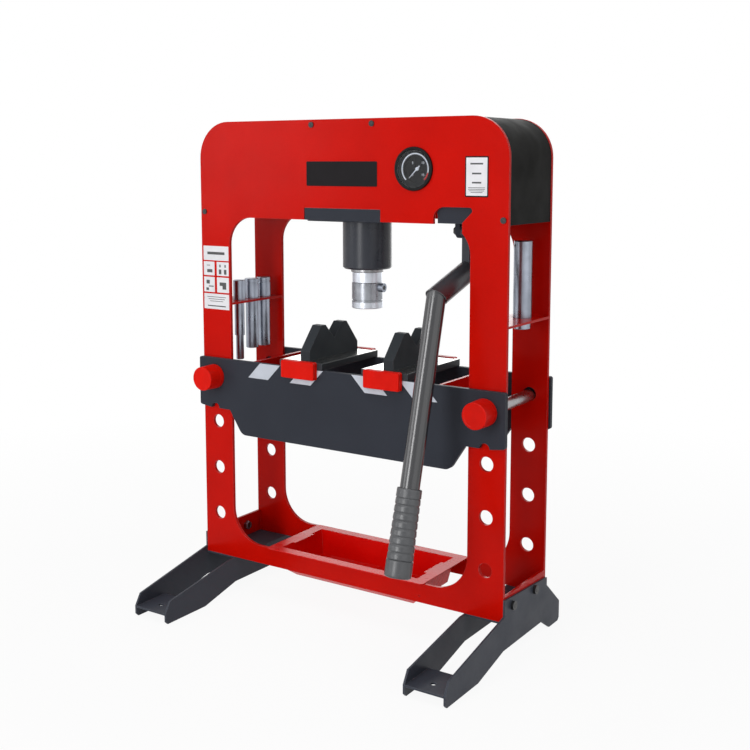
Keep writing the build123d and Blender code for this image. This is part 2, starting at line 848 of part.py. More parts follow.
def make_gauge_pipe():
    """The thin line from the back of the gauge to the pump's left face."""
    return pipe([(gauge_x, gauge_back, gauge_z), (gauge_x, mid_y, gauge_z),
                 (pump_left, mid_y, gauge_z)], gauge_pipe_radius, gauge_pipe_bend)


def make_gauge_case():
    """The gauge's cup, open to the front, set in its hole in the front plate."""
    case = rod((gauge_x, front_y, gauge_z), (gauge_x, gauge_back, gauge_z), gauge_case_radius)
    return case - rod((gauge_x, front_y, gauge_z), (gauge_x, gauge_back - gauge_wall, gauge_z),
                      dial_radius)


def make_gauge_bezel():
    """The ring in front of the gauge's case, grooved inside for the glass."""
    groove_top = bezel_height - glass_setback
    groove_low = groove_top - glass_thickness - seat_gap
    groove = dial_radius + glass_edge
    profile = [(dial_radius, 0), (bezel_radius, 0), (bezel_radius, bezel_height - bezel_edge),
               (bezel_radius - bezel_edge, bezel_height), (dial_radius, bezel_height),
               (dial_radius, groove_top), (groove, groove_top), (groove, groove_low),
               (dial_radius, groove_low)]
    return turned(profile, (gauge_x, front_y, gauge_z), (0, -1, 0))


def make_gauge_glass():
    """The flat glass held in the bezel's groove."""
    front = front_y - bezel_height + glass_setback + seat_gap / 2
    return rod((gauge_x, front, gauge_z), (gauge_x, front + glass_thickness, gauge_z),
               dial_radius + glass_edge - seat_gap / 2)


def make_gauge_dial():
    """The dial plate on its pillar, inside the case, with a hole for the needle's spindle."""
    plate_back = dial_y + dial_thickness
    hole_end = dial_y + spindle_length + edge
    dial = rod((gauge_x, dial_y, gauge_z), (gauge_x, plate_back, gauge_z),
               dial_radius - seat_gap)
    dial += rod((gauge_x, plate_back, gauge_z), (gauge_x, gauge_back - gauge_wall, gauge_z),
                dial_pillar_radius)
    return dial - rod((gauge_x, dial_y, gauge_z), (gauge_x, hole_end, gauge_z),
                      spindle_radius + running_gap)


def make_gauge_needle():
    """The needle with its hub and spindle, pointing at zero, low on the left."""
    half = needle_width / 2
    blade = polygon([(-needle_tail, -half), (needle_length, -half / 4), (needle_length, half / 4),
                     (-needle_tail, half)])
    blade = Pos(gauge_x, gauge_z) * Rot(0, 0, needle_zero) * blade
    face = dial_y - needle_lift
    hub_front = face - needle_thickness - seat_gap
    needle = front_plate(blade, face - needle_thickness, needle_thickness)
    needle += rod((gauge_x, hub_front, gauge_z), (gauge_x, dial_y - side_play, gauge_z),
                  needle_hub_radius)
    return needle + rod((gauge_x, dial_y - side_play, gauge_z),
                        (gauge_x, dial_y + spindle_length, gauge_z), spindle_radius)


def bed_face():
    """A bed plate in X and Z: deep belly, raised ends and a half-round notch under each pin."""
    low = bed_top - bed_depth
    end = bed_top - bed_end_drop
    lobe = end - bed_lobe_drop
    corners = [(bed_half_width, bed_top), (bed_half_width, end), (leg_x + bed_notch_radius, lobe),
               (bed_shoulder_x, lobe), (bed_shoulder_x - bed_belly_inset, low)]
    face = polygon(corners + [(-x, z) for x, z in reversed(corners)])
    face = fillet(face.vertices().group_by(Axis.Y)[0], bed_belly_radius)
    ends = face.vertices().group_by(Axis.X)
    face = fillet(ends[0] + ends[-1], bed_end_radius)
    for x in (-leg_x, leg_x):
        face -= Pos(x, lobe) * Circle(bed_notch_radius)
        face -= Pos(x, bed_pin_z) * Circle(pin_radius + running_gap)
    return face


def make_bed_web():
    """The right-hand cross web between the two bed plates."""
    top = bed_top - bed_web_drop
    return block((bed_web_x - bed_web_thickness, bed_web_x),
                 (bed_front_y + bed_thickness, bed_rear_y), (top - bed_web_height, top))


def make_bed_pin():
    """The right-hand pin that carries the bed in a pair of leg holes."""
    start = v_base_front - knob_bore_depth
    length = bed_rear_y + bed_thickness + pin_overrun - start
    profile = [(0, 0), (pin_radius - edge, 0), (pin_radius, edge),
               (pin_radius, length - pin_taper), (pin_radius - pin_taper, length), (0, length)]
    return turned(profile, (leg_x, start, bed_pin_z), (0, 1, 0))


def make_pin_knob():
    """The right-hand pin's round knob, bored to take the pin's end."""
    profile = [(pin_radius, 0), (knob_radius - edge, 0), (knob_radius, edge),
               (knob_radius, knob_length - knob_edge), (knob_radius - knob_edge, knob_length),
               (0, knob_length), (0, knob_bore_depth), (pin_radius, knob_bore_depth)]
    return turned(profile, (leg_x, v_base_front, bed_pin_z), (0, -1, 0))


def make_v_base(x):
    """The base of a V-block, lying across both bed plates."""
    base = block((x - v_base_width / 2, x + v_base_width / 2), (v_base_front, v_base_back),
                 (v_base_low, v_base_top))
    return chamfer(base.edges().filter_by(Axis.Y), edge)


def make_v_plate(x):
    """The upright plate of a V-block, with a right-angled V in its top edge."""
    top = v_base_top + v_plate_height
    side = [(v_plate_half_foot, v_base_top),
            (v_plate_half_foot, v_base_top + v_plate_foot_height),
            (v_plate_half_top, top), (v_half_width, top)]
    outline = [(mid_y + y, z) for y, z in side] + [(mid_y, top - v_half_width)]
    outline += [(mid_y - y, z) for y, z in reversed(side)]
    return side_plate(polygon(outline), x - v_plate_thickness / 2, v_plate_thickness)


def make_grip_block(x, inside, outside):
    """A moulded grip on one end of a V-block, beside the outer face of a bed plate."""
    top = v_base_top + grip_block_rise
    grip = block((x - grip_block_width / 2, x + grip_block_width / 2),
                 sorted((inside, outside)), (top - grip_block_height, top))
    grip = fillet(grip.edges().filter_by(Axis.Y), grip_block_radius)
    face = grip.faces().filter_by_position(Axis.Y, outside, outside)[0]
    return chamfer(face.edges(), grip_block_edge)


def make_rack(x_span, holes):
    """A rack plate between the frame plates; a hole is an X, a Y and a radius."""
    low = rack_top - rack_thickness
    rack = block(x_span, (inner_y, rear_y), (low, rack_top))
    for x, y, radius in holes:
        rack -= rod((x, y, low), (x, y, rack_top), radius + bolt_gap)
    return rack


def make_punch(x, y):
    """A punch of the row: plain shank, and a head with a ring groove near its top."""
    groove = punch_head_radius - punch_groove_depth
    groove_end = punch_groove_height + punch_groove_width
    profile = [(0, -punch_shank_length), (punch_shank_radius - edge, -punch_shank_length),
               (punch_shank_radius, edge - punch_shank_length), (punch_shank_radius, 0),
               (punch_head_radius, 0), (punch_head_radius, punch_groove_height),
               (groove, punch_groove_height), (groove, groove_end),
               (punch_head_radius, groove_end), (punch_head_radius, punch_head_height - edge),
               (punch_head_radius - edge, punch_head_height), (0, punch_head_height)]
    return turned(profile, (x, y, rack_top), (0, 0, 1))


def make_slim_punch(x, y):
    """The slim punch: a head, a shank and a thinner pin below it."""
    low = -slim_shank_length - slim_pin_length
    profile = [(0, low), (slim_pin_radius - edge, low), (slim_pin_radius, low + edge),
               (slim_pin_radius, -slim_shank_length), (slim_shank_radius, -slim_shank_length),
               (slim_shank_radius, 0), (slim_head_radius, 0),
               (slim_head_radius, punch_head_height - edge),
               (slim_head_radius - edge, punch_head_height), (0, punch_head_height)]
    return turned(profile, (x, y, rack_top), (0, 0, 1))


def make_large_punch(x, y):
    """The large punch: a long head above the rack and a short shank in it."""
    profile = [(0, -large_shank_length), (large_shank_radius - edge, -large_shank_length),
               (large_shank_radius, edge - large_shank_length), (large_shank_radius, 0),
               (large_head_radius, 0), (large_head_radius, large_head_height - edge),
               (large_head_radius - edge, large_head_height), (0, large_head_height)]
    return turned(profile, (x, y, rack_top), (0, 0, 1))


def tray_body(inset):
    """The tray's body as a solid, drawn in by inset: steep walls, then a sloped fold."""
    levels = [(window_bottom + tray_sheet + inset, 0),
              (window_bottom - tray_fold_height, tray_fold_inset),
              (window_bottom - tray_depth + inset, tray_floor_inset)]
    faces = [Pos(0, tray_y, z) * Rectangle(tray_opening_length - 2 * (shrink + inset),
                                           tray_opening_width - 2 * (shrink + inset))
             for z, shrink in levels]
    return loft(faces[:2]) + loft(faces[1:])


def make_tray():
    """The sheet drip tray, hung by its rim on the sills of both plates."""
    rim_z = (window_bottom, window_bottom + tray_sheet)
    tray = block((-tray_length / 2, tray_length / 2), (tray_front, tray_front + tray_width), rim_z)
    tray = fillet(tray.edges().filter_by(Axis.Z), tray_corner)
    tray += tray_body(0)
    tray -= tray_body(tray_sheet)
    tab = block((tray_opening_length / 2 - tray_tab_reach, tray_opening_length / 2),
                (tray_y - tray_tab_width / 2, tray_y + tray_tab_width / 2), rim_z)
    return tray + tab + mirror_x(tab)


def build():
    """Every node of the press, by name."""
    row_ys = [punch_row_y + step * punch_pitch for step in (-1, 0, 1)]
    nodes = {
        "front_frame_plate": make_front_frame_plate(),
        "rear_frame_plate": front_plate(frame_face(), rear_y, plate_thickness),
        "right_side_web": make_side_web(),
        "left_side_web": mirror_x(make_side_web()),
        "right_foot": make_foot(),
        "left_foot": mirror_x(make_foot()),
        "foot_bolts": both_sides([make_foot_bolt(y) for y in foot_bolt_ys]),
        "foot_nuts": both_sides([make_foot_nut(y) for y in foot_bolt_ys]),
        "top_cover": make_top_cover(),
        "cover_bolts": make_cover_bolts(),
        "cylinder_block": make_cylinder_block(),
        "cylinder_barrel": make_cylinder_barrel(),
        "cylinder_cap": make_cylinder_cap(),
        "cylinder_nut": make_cylinder_nut(),
        "cylinder_gland": make_cylinder_gland(),
        "ram": make_ram(),
        "piston_seal": make_piston_seal(),
        "return_spring": make_return_spring(),
        "tool_sleeve": make_tool_sleeve(),
        "clamp_screw": make_clamp_screw(),
        "pump_body": make_pump_body(),
        "release_valve": make_release_valve(),
        "pump_plunger": make_pump_plunger(),
        "plunger_pin": make_plunger_pin(),
        "pivot_bolt": make_pivot_bolt(),
        "lever_link": make_lever_link(),
        "lever_tube": make_lever_tube(),
        "lever_grip": make_lever_grip(),
        "oil_pipe": make_oil_pipe(),
        "gauge_pipe": make_gauge_pipe(),
        "gauge_case": make_gauge_case(),
        "gauge_bezel": make_gauge_bezel(),
        "gauge_glass": make_gauge_glass(),
        "gauge_dial": make_gauge_dial(),
        "gauge_needle": make_gauge_needle(),
        "bed_front_plate": front_plate(bed_face(), bed_front_y, bed_thickness),
        "bed_rear_plate": front_plate(bed_face(), bed_rear_y, bed_thickness),
        "bed_right_web": make_bed_web(),
        "bed_left_web": mirror_x(make_bed_web()),
        "right_pin": make_bed_pin(),
        "left_pin": mirror_x(make_bed_pin()),
        "right_pin_knob": make_pin_knob(),
        "left_pin_knob": mirror_x(make_pin_knob()),
        "left_punch_rack": make_rack((-half_width, -window_half),
                                     [(punch_row_x, row_ys[0], slim_shank_radius),
                                      (punch_row_x, row_ys[1], punch_shank_radius),
                                      (punch_row_x, row_ys[2], punch_shank_radius)]),
        "right_punch_rack": make_rack((window_half, half_width),
                                      [(large_punch_x, large_punch_y, large_shank_radius)]),
        "slim_punch": make_slim_punch(punch_row_x, row_ys[0]),
        "middle_punch": make_punch(punch_row_x, row_ys[1]),
        "rear_punch": make_punch(punch_row_x, row_ys[2]),
        "large_punch": make_large_punch(large_punch_x, large_punch_y),
        "drip_tray": make_tray(),
    }
    for side, x in (("left", left_v_place), ("right", right_v_place)):
        nodes[f"{side}_v_base"] = make_v_base(x)
        nodes[f"{side}_v_plate"] = make_v_plate(x)
        nodes[f"{side}_front_grip"] = make_grip_block(x, v_base_front,
                                                      v_base_front - grip_block_depth)
        nodes[f"{side}_rear_grip"] = make_grip_block(x, v_base_back,
                                                     v_base_back + grip_block_depth)
    return nodes


os.makedirs("parts", exist_ok=True)
for name, shape in build().items():
    export_step(shape, f"parts/{name}.step")
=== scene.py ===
"""Finishes and fine detail for a bench hydraulic press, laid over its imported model.

Metres. The floor is at Z = 0, +X is to the right and +Y to the back, seen from the front.
"""
import math

import bpy
import numpy as np
from bpy.props import FloatProperty, FloatVectorProperty, IntProperty, PointerProperty
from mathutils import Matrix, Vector


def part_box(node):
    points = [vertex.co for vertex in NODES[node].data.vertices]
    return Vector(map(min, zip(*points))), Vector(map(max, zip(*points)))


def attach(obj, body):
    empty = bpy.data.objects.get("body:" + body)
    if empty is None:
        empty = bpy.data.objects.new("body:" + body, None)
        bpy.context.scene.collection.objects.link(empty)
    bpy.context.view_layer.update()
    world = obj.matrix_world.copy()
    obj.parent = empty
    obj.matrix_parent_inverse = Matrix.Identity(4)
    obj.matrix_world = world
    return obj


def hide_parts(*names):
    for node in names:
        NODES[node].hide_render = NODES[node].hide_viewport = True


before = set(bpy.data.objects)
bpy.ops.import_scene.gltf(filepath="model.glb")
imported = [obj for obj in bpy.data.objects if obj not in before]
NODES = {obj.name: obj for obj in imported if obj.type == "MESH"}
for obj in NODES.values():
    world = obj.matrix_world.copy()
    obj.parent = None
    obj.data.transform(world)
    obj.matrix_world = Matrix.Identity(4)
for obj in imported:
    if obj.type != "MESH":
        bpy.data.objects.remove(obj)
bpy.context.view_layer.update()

bl_info = {
    "name": "Hydraulic press",
    "version": (1, 0, 0),
    "blender": (4, 5, 0),
    "location": "3D View > Sidebar > Press",
    "description": "Finishes and fine detail for a bench hydraulic press",
    "category": "Object",
}

MM = 0.001
SINK = 0.05 * MM  # how deep a laid-on piece reaches into what carries it
PIVOT = np.array([220.0, 39.0, 706.0]) * MM  # the lever's pivot
BEND = PIVOT + np.array([0.0, -100.0, -101.0]) * MM  # where its two tubes meet
UPPER_START = PIVOT + np.array([0.0, 16.0, -62.0]) * MM  # a point on the upper tube's axis
LOWER_WAY = np.array([0.0, -114.0, -429.0])  # the way the long tube runs
CAMERA_PLACE = (1.1299, -1.6169, 0.8173)
CAMERA_YAW, CAMERA_PITCH, CAMERA_SHIFT = 33.431, 7.232, -0.09


def paint(red, green, blue):
    """A screen colour of 0 to 255 as the linear colour that Blender keeps."""
    share = np.array([red, green, blue]) / 255
    linear = np.where(share <= 0.04045, share / 12.92, ((share + 0.055) / 1.055) ** 2.4)
    return tuple(float(value) for value in linear)


def colour(label, about, default):
    """A colour that the user may change."""
    return FloatVectorProperty(name=label, description=about, subtype="COLOR", size=3,
                               min=0.0, max=1.0, default=default)


def length(label, about, default):
    """A length that the user may change, given here in millimetres."""
    return FloatProperty(name=label, description=about, subtype="DISTANCE", unit="LENGTH",
                         default=default * MM)


def power(label, about, default):
    """A lamp's power that the user may change, in watts."""
    return FloatProperty(name=label, description=about, unit="POWER", default=default)


# ---------------------------------------------------------------- surfaces


def unit(vector):
    """The vector at length one."""
    vector = np.asarray(vector, float)
    return vector / np.linalg.norm(vector, axis=-1, keepdims=True)


def across(axis):
    """Two directions square to an axis and to each other."""
    helper = np.array([0.0, 0.0, 1.0]) if abs(axis[2]) < 0.9 else np.array([1.0, 0.0, 0.0])
    side = unit(np.cross(helper, axis))
    return side, np.cross(axis, side)


def turned(profile, centre, axis, count=96):
    """A profile turned round an axis.

    Point (i, j) = centre + axis * distance[i]
                   + radius[i] * (side * cos(angle[j]) + other * sin(angle[j])).
    """
    radius, distance = np.array(profile, float).T
    axis = unit(axis)
    side, other = across(axis)
    angle = np.linspace(0, 2 * np.pi, count + 1)
    ring = np.cos(angle)[:, None] * side + np.sin(angle)[:, None] * other
    along = np.asarray(centre, float) + distance[:, None, None] * axis
    return along + radius[:, None, None] * ring[None]


def softened(corners, radius, steps=6):
    """A line of points whose inner corners are rounded.

    Round each corner c runs (1-t)^2 * a + 2 t (1-t) * c + t^2 * b, where a and b lie on its
    two sides, the given radius away from it.
    """
    corners = np.array(corners, float)
    corner, before, after = corners[1:-1], corners[:-2], corners[2:]
    start = corner + unit(before - corner) * radius
    end = corner + unit(after - corner) * radius
    share = np.linspace(0, 1, steps)[None, :, None]
    curve = ((1 - share) ** 2 * start[:, None] + 2 * share * (1 - share) * corner[:, None]
             + share ** 2 * end[:, None])
    return np.vstack([corners[:1], curve.reshape(-1, 2), corners[-1:]])


def plate(centre, width, height, corner, levels, shear=0.0, count=8):
    """A flat plate with round corners: x across, y deep and z up.

    Row i is the outline moved in by inset[i] and back by depth[i]. Each corner is a quarter
    circle of radius corner - inset[i], and x gains shear * z. A last row a little further in
    holds the front flat, and both end rows close on the middle.
    """
    levels = [*levels, (levels[-1][0] + 0.3 * MM, levels[-1][1])]
    inset, depth = np.array(levels, float).T
    inset = inset[:, None]
    angle = (np.linspace(0, np.pi / 2, count)[None] + np.arange(4)[:, None] * np.pi / 2).ravel()
    right = np.repeat([1, -1, -1, 1], count)
    upper = np.repeat([1, 1, -1, -1], count)
    radius = np.maximum(corner - inset, SINK)
    x = right * (width / 2 - inset - radius) + radius * np.cos(angle)
    z = upper * (height / 2 - inset - radius) + radius * np.sin(angle)
    x = x + shear * z
    y = np.broadcast_to(depth[:, None], x.shape)
    rows = np.stack([x, y, z], -1)
    rows = np.concatenate([rows, rows[:, :1]], 1)
    back = np.broadcast_to([0.0, depth[0], 0.0], rows[:1].shape)
    front = np.broadcast_to([0.0, depth[-1], 0.0], rows[:1].shape)
    return np.concatenate([back, rows, front]) + np.asarray(centre, float)


def bead(path, radius, pitch, ripple, count=12):
    """A round section carried along a path, as a weld bead is.

    Point (i, j) = path[i] + r[i] * (side[i] * cos(angle[j]) + other[i] * sin(angle[j])), where
    r[i] swells once every pitch by the ripple's share and closes to a point at both ends.
    """
    path = np.asarray(path, float)
    way = unit(np.gradient(path, axis=0))
    helper = np.array([0.31, 0.17, 0.93]) if abs(way[0, 2]) < 0.7 else np.array([0.93, 0.31, 0.17])
    side = unit(np.cross(way, helper))
    other = np.cross(way, side)
    gone = np.concatenate([[0], np.cumsum(np.linalg.norm(np.diff(path, axis=0), axis=1))])
    swell = radius * (1 + ripple * np.abs(np.sin(np.pi * gone / pitch)))
    left = np.minimum(gone, gone[-1] - gone)
    swell = swell * np.sqrt(np.clip(1 - (1 - np.clip(left / radius, 0, 1)) ** 2, 0, 1))
    angle = np.linspace(0, 2 * np.pi, count + 1)
    ring = (np.cos(angle)[None, :, None] * side[:, None]
            + np.sin(angle)[None, :, None] * other[:, None])
    return path[:, None] + swell[:, None, None] * ring


def line(start, end, step=0.0012):
    """Evenly spaced points from one place to another."""
    start, end = np.asarray(start, float), np.asarray(end, float)
    count = max(int(np.linalg.norm(end - start) / step), 3)
    return start + np.linspace(0, 1, count)[:, None] * (end - start)


def stroke(path, width, low, high):
    """A flat line drawn on a face that looks to the front, with a square section.

    Point (i, j) = path[i] +- side[i] * width / 2 across, at depth low or high; side is the
    path's direction turned by a quarter, and both ends close on the section's middle.
    """
    path = np.asarray(path, float)
    way = unit(np.gradient(path, axis=0))
    side = np.stack([-way[:, 1], way[:, 0]], -1) * width / 2
    flat = np.stack([path - side, path + side, path + side, path - side, path - side], 1)
    depth = np.broadcast_to([low, low, high, high, low], flat.shape[:2])
    rows = np.stack([flat[..., 0], depth, flat[..., 1]], -1)
    ends = rows[[0, -1], :4].mean(1)[:, None] + np.zeros((2, 5, 3))
    return np.concatenate([ends[:1], rows, ends[1:]])


def arc(radius, start, end, count):
    """Points on a circle, from one angle in degrees to another."""
    angle = np.radians(np.linspace(start, end, count))
    return radius * np.stack([np.cos(angle), np.sin(angle)], -1)


def welded(points, quads):
    """Joins the points that lie at one place, and splits off the faces that become triangles."""
    _, first, where = np.unique(np.round(points, 7), axis=0, return_index=True,
                                return_inverse=True)
    quads = where.ravel()[quads]
    same = quads == np.roll(quads, -1, axis=1)
    lost = same.sum(1)
    triangles = quads[lost == 1][~same[lost == 1]].reshape(-1, 3)
    return points[first], quads[lost == 0], triangles


def faces_of(grid):
    """The four corners of every face of a grid of points, as places in its flat list."""
    rows, columns = grid.shape[:2]
    index = np.arange(rows * columns).reshape(rows, columns)
    face = np.stack([index[:-1, :-1], index[:-1, 1:], index[1:, 1:], index[1:, :-1]], -1)
    return face.reshape(-1, 4)


def piece(name, grids, body, material, replaces=()):
    """Makes one piece from grids of points, with its faces outward, and sets it on its body."""
    points, quads, start = [], [], 0
    for grid in grids:
        face = faces_of(grid)
        flat = grid.reshape(-1, 3)
        shifted = flat - flat.mean(0)
        half = np.cross(shifted[face[:, 1]] - shifted[face[:, 0]],
                        shifted[face[:, 2]] - shifted[face[:, 0]])
        rest = np.cross(shifted[face[:, 2]] - shifted[face[:, 0]],
                        shifted[face[:, 3]] - shifted[face[:, 0]])
        if ((half + rest) * shifted[face[:, 0]]).sum() < 0:
            face = face[:, ::-1]
        points.append(flat)
        quads.append(face + start)
        start += len(flat)
    points, quads, triangles = welded(np.concatenate(points), np.concatenate(quads))
    corners = np.concatenate([quads.ravel(), triangles.ravel()]).astype(np.int32)
    starts = np.concatenate([np.arange(len(quads)) * 4,
                             quads.size + np.arange(len(triangles)) * 3]).astype(np.int32)
    mesh = bpy.data.meshes.new(name)
    mesh.vertices.add(len(points))
    mesh.vertices.foreach_set("co", points.astype(np.float32).ravel())
    mesh.loops.add(len(corners))
    mesh.loops.foreach_set("vertex_index", corners)
    mesh.polygons.add(len(starts))
    mesh.polygons.foreach_set("loop_start", starts)
    mesh.update(calc_edges=True)
    if mesh.validate():
        raise RuntimeError(f"{name}: its surface is not whole")
    mesh.shade_smooth()
    mesh.set_sharp_from_angle(angle=math.radians(38))
    mesh.materials.append(material)
    made = bpy.data.objects.new(name, mesh)
    bpy.context.scene.collection.objects.link(made)
    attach(made, body)
    if replaces:
        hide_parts(*replaces)
    return made


def box_of(node):
    """A node's lowest and highest corners, as arrays."""
    low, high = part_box(node)
    return np.array(low), np.array(high)


# ---------------------------------------------------------------- finishes


class Finish:
    """A material whose nodes are added one by one, from the place on the object."""

    def __init__(self, name):
        self.material = bpy.data.materials.new(name)
        self.material.use_nodes = True
        self.tree = self.material.node_tree
        self.tree.nodes.clear()
        self.place = self.add("ShaderNodeTexCoord").outputs["Object"]

    def add(self, kind, sockets=None, **settings):
        """Adds a node; a socket is given a value or is linked to another socket."""
        node = self.tree.nodes.new(kind)
        for key, value in settings.items():
            setattr(node, key, value)
        for key, value in (sockets or {}).items():
            if isinstance(value, bpy.types.NodeSocket):
                self.tree.links.new(value, node.inputs[key])
            else:
                node.inputs[key].default_value = value
        return node

    def noise(self, scale, detail=2.0, stretch=None):
        """Soft noise with scale grains per metre, drawn out along an axis by a small stretch."""
        place = self.place
        if stretch:
            place = self.add("ShaderNodeMapping", {"Vector": place, "Scale": stretch}).outputs[0]
        return self.add("ShaderNodeTexNoise",
                        {"Vector": place, "Scale": scale, "Detail": detail}).outputs["Fac"]

    def maths(self, operation, first, second=0.0, clamp=False):
        """One sum of two values."""
        return self.add("ShaderNodeMath", {0: first, 1: second}, operation=operation,
                        use_clamp=clamp).outputs[0]

    def spread(self, value, low, high, to_low, to_high):
        """Carries a value from one range to another and holds it there."""
        return self.add("ShaderNodeMapRange",
                        {"Value": value, "From Min": low, "From Max": high,
                         "To Min": to_low, "To Max": to_high}).outputs["Result"]

    def blend(self, share, first, second):
        """Mixes two colours."""
        node = self.add("ShaderNodeMix", {"Factor": share}, data_type="RGBA")
        for socket, value in ((node.inputs[6], first), (node.inputs[7], second)):
            if isinstance(value, bpy.types.NodeSocket):
                self.tree.links.new(value, socket)
            else:
                socket.default_value = (*value, 1.0)
        return node.outputs[2]

    def clouded(self, grain, tone, dark, light):
        """A colour that drifts between a darker and a lighter one of the same tone."""
        return self.blend(self.spread(grain, 0.3, 0.7, 0.0, 1.0), scaled(tone, dark),
                          scaled(tone, light))

    def rubbed_and_highlit(self, body, rounded, amount, tone, white):
        """A colour whose edges are made lighter by an amount: partly wear, partly a painted
        highlight.
        """
        return self.blend(self.maths("MULTIPLY", self.edge(rounded), amount), body,
                          lightened(tone, white))

    def uneven(self, grain, rough, low=0.85, high=1.2):
        """A roughness that drifts about its middle value."""
        return self.spread(grain, 0.3, 0.7, rough * low, rough * high)

    def height(self):
        """The place along Z."""
        return self.add("ShaderNodeSeparateXYZ", {0: self.place}).outputs["Z"]

    def round_normal(self, radius):
        """The normal of the surface with its edges rounded by a radius."""
        return self.add("ShaderNodeBevel", {"Radius": radius}, samples=6).outputs[0]

    def edge(self, rounded):
        """0 on a flat and up to 1 on an edge, from how far the rounded normal turns away."""
        true = self.add("ShaderNodeNewGeometry").outputs["Normal"]
        turn = self.add("ShaderNodeVectorMath", {0: rounded, 1: true}, operation="DOT_PRODUCT")
        return self.spread(turn.outputs["Value"], 0.985, 0.80, 0.0, 1.0)

    def bump(self, height, strength, distance, normal=None):
        """A bump from a height, on top of a normal."""
        sockets = {"Height": height, "Strength": strength, "Distance": distance}
        if normal:
            sockets["Normal"] = normal
        return self.add("ShaderNodeBump", sockets).outputs[0]

    def end(self, shader):
        """Ends the material in a shader's first output."""
        self.tree.links.new(shader.outputs[0], self.add("ShaderNodeOutputMaterial").inputs[0])
        return self.material

    def shade(self, base, rough, normal, **constants):
        """Ends the material in one surface shader."""
        sockets = {"Base Color": base, "Roughness": rough}
        if normal:
            sockets["Normal"] = normal
        sockets.update({key.replace("_", " "): value for key, value in constants.items()})
        return self.end(self.add("ShaderNodeBsdfPrincipled", sockets))


def scaled(tone, factor):
    """A colour made lighter or darker."""
    return tuple(min(channel * factor, 1.0) for channel in tone)


def lightened(tone, share):
    """A colour mixed with white by a share."""
    return tuple(channel + (1 - channel) * share for channel in tone)


def powder_coat(name, tone, rough, peel, gloss, edge_wear_and_highlight=0.30, coat=0.0, radius=0.9 * MM):
    """Sprayed and baked paint: cloudy tone, orange peel, and edges painted lighter, partly thin
    paint and wear and partly a painted highlight.
    """
    finish = Finish(name)
    grain = finish.noise(420.0, 2.0)
    body = finish.clouded(finish.noise(7.0, 3.0), tone, 0.90, 1.08)
    body = finish.blend(finish.spread(grain, 0.35, 0.65, 0.0, 0.10), body, scaled(tone, 0.62))
    rounded = finish.round_normal(radius)
    # edges painted lighter: partly wear, partly a painted highlight along the edges
    worn_and_highlit = finish.maths("MULTIPLY", finish.edge(rounded),
                        finish.spread(finish.noise(60.0, 4.0), 0.35, 0.65, 0.35, 1.0))
    body = finish.blend(finish.maths("MULTIPLY", worn_and_highlit, edge_wear_and_highlight), body, lightened(tone, 0.45))
    uneven = finish.uneven(finish.noise(26.0, 4.0), rough, 0.84, 1.18)
    normal = finish.bump(finish.noise(520.0, 2.0), peel, 0.12 * MM, rounded)
    return finish.shade(body, uneven, normal, Coat_Weight=coat, Coat_Roughness=0.12,
                        Specular_IOR_Level=gloss)


def plated_steel(name, tone, rough, rings, dull, axis="Z"):
    """Plated or turned steel: fine rings from the lathe, cloudy plating and bright edges, partly
    wear and partly a painted highlight.
    """
    finish = Finish(name)
    stretch = {"X": (1.0, 0.02, 0.02), "Y": (0.02, 1.0, 0.02), "Z": (0.02, 0.02, 1.0)}[axis]
    cloud = finish.noise(38.0, 5.0)
    body = finish.blend(finish.spread(cloud, 0.32, 0.68, 0.0, 1.0), scaled(tone, 0.82),
                        scaled(tone, 1.12))
    streak = finish.noise(900.0, 3.0, stretch)
    body = finish.blend(finish.spread(streak, 0.4, 0.7, 0.0, dull), body, scaled(tone, 0.55))
    rounded = finish.round_normal(0.6 * MM)
    body = finish.rubbed_and_highlit(body, rounded, 0.5, tone, 0.5)
    uneven = finish.uneven(finish.noise(45.0, 3.0), rough)
    normal = finish.bump(streak, rings, 0.02 * MM, rounded)
    return finish.shade(body, uneven, normal, Metallic=1.0)


def moulded(name, tone, rough, grain, strength, edge_wear_and_highlight, gloss, specks=0.25):
    """Moulded plastic or rubber: a fine skin, faint flow marks and lighter edges, partly wear and
    partly a painted highlight.
    """
    finish = Finish(name)
    body = finish.clouded(finish.noise(22.0, 3.0), tone, 0.88, 1.1)
    dust = finish.noise(240.0, 5.0)
    body = finish.blend(finish.spread(dust, 0.58, 0.75, 0.0, specks), body, lightened(tone, 0.12))
    rounded = finish.round_normal(0.6 * MM)
    body = finish.rubbed_and_highlit(body, rounded, edge_wear_and_highlight, tone, 0.35)
    uneven = finish.uneven(finish.noise(70.0, 4.0), rough)
    normal = finish.bump(finish.noise(grain, 2.0), strength, 0.08 * MM, rounded)
    return finish.shade(body, uneven, normal, Specular_IOR_Level=gloss)


def milled_top(name, tone, top_tone):
    """Dark paint with a bare milled top: the upper faces are bright steel with cutter marks."""
    finish = Finish(name)
    up = finish.add("ShaderNodeSeparateXYZ",
                    {0: finish.add("ShaderNodeNewGeometry").outputs["True Normal"]}).outputs["Z"]
    top = finish.spread(up, 0.90, 0.96, 0.0, 1.0)
    marks = finish.noise(500.0, 3.0, (0.04, 1.0, 1.0))
    stain = finish.noise(24.0, 5.0)
    bare = finish.clouded(stain, top_tone, 0.84, 1.1)
    bare = finish.blend(finish.spread(marks, 0.45, 0.7, 0.0, 0.35), bare, scaled(top_tone, 0.6))
    rounded = finish.round_normal(0.8 * MM)
    coated = finish.clouded(finish.noise(9.0, 3.0), tone, 0.85, 1.12)
    body = finish.blend(top, finish.rubbed_and_highlit(coated, rounded, 0.35, tone, 0.3), bare)
    uneven = finish.spread(finish.maths("ADD", top, finish.maths("MULTIPLY", stain, 0.1)),
                           0.0, 1.1, 0.50, 0.20)
    normal = finish.bump(marks, 0.05, 0.04 * MM, rounded)
    return finish.shade(body, uneven, normal, Specular_IOR_Level=0.2, Metallic=top)


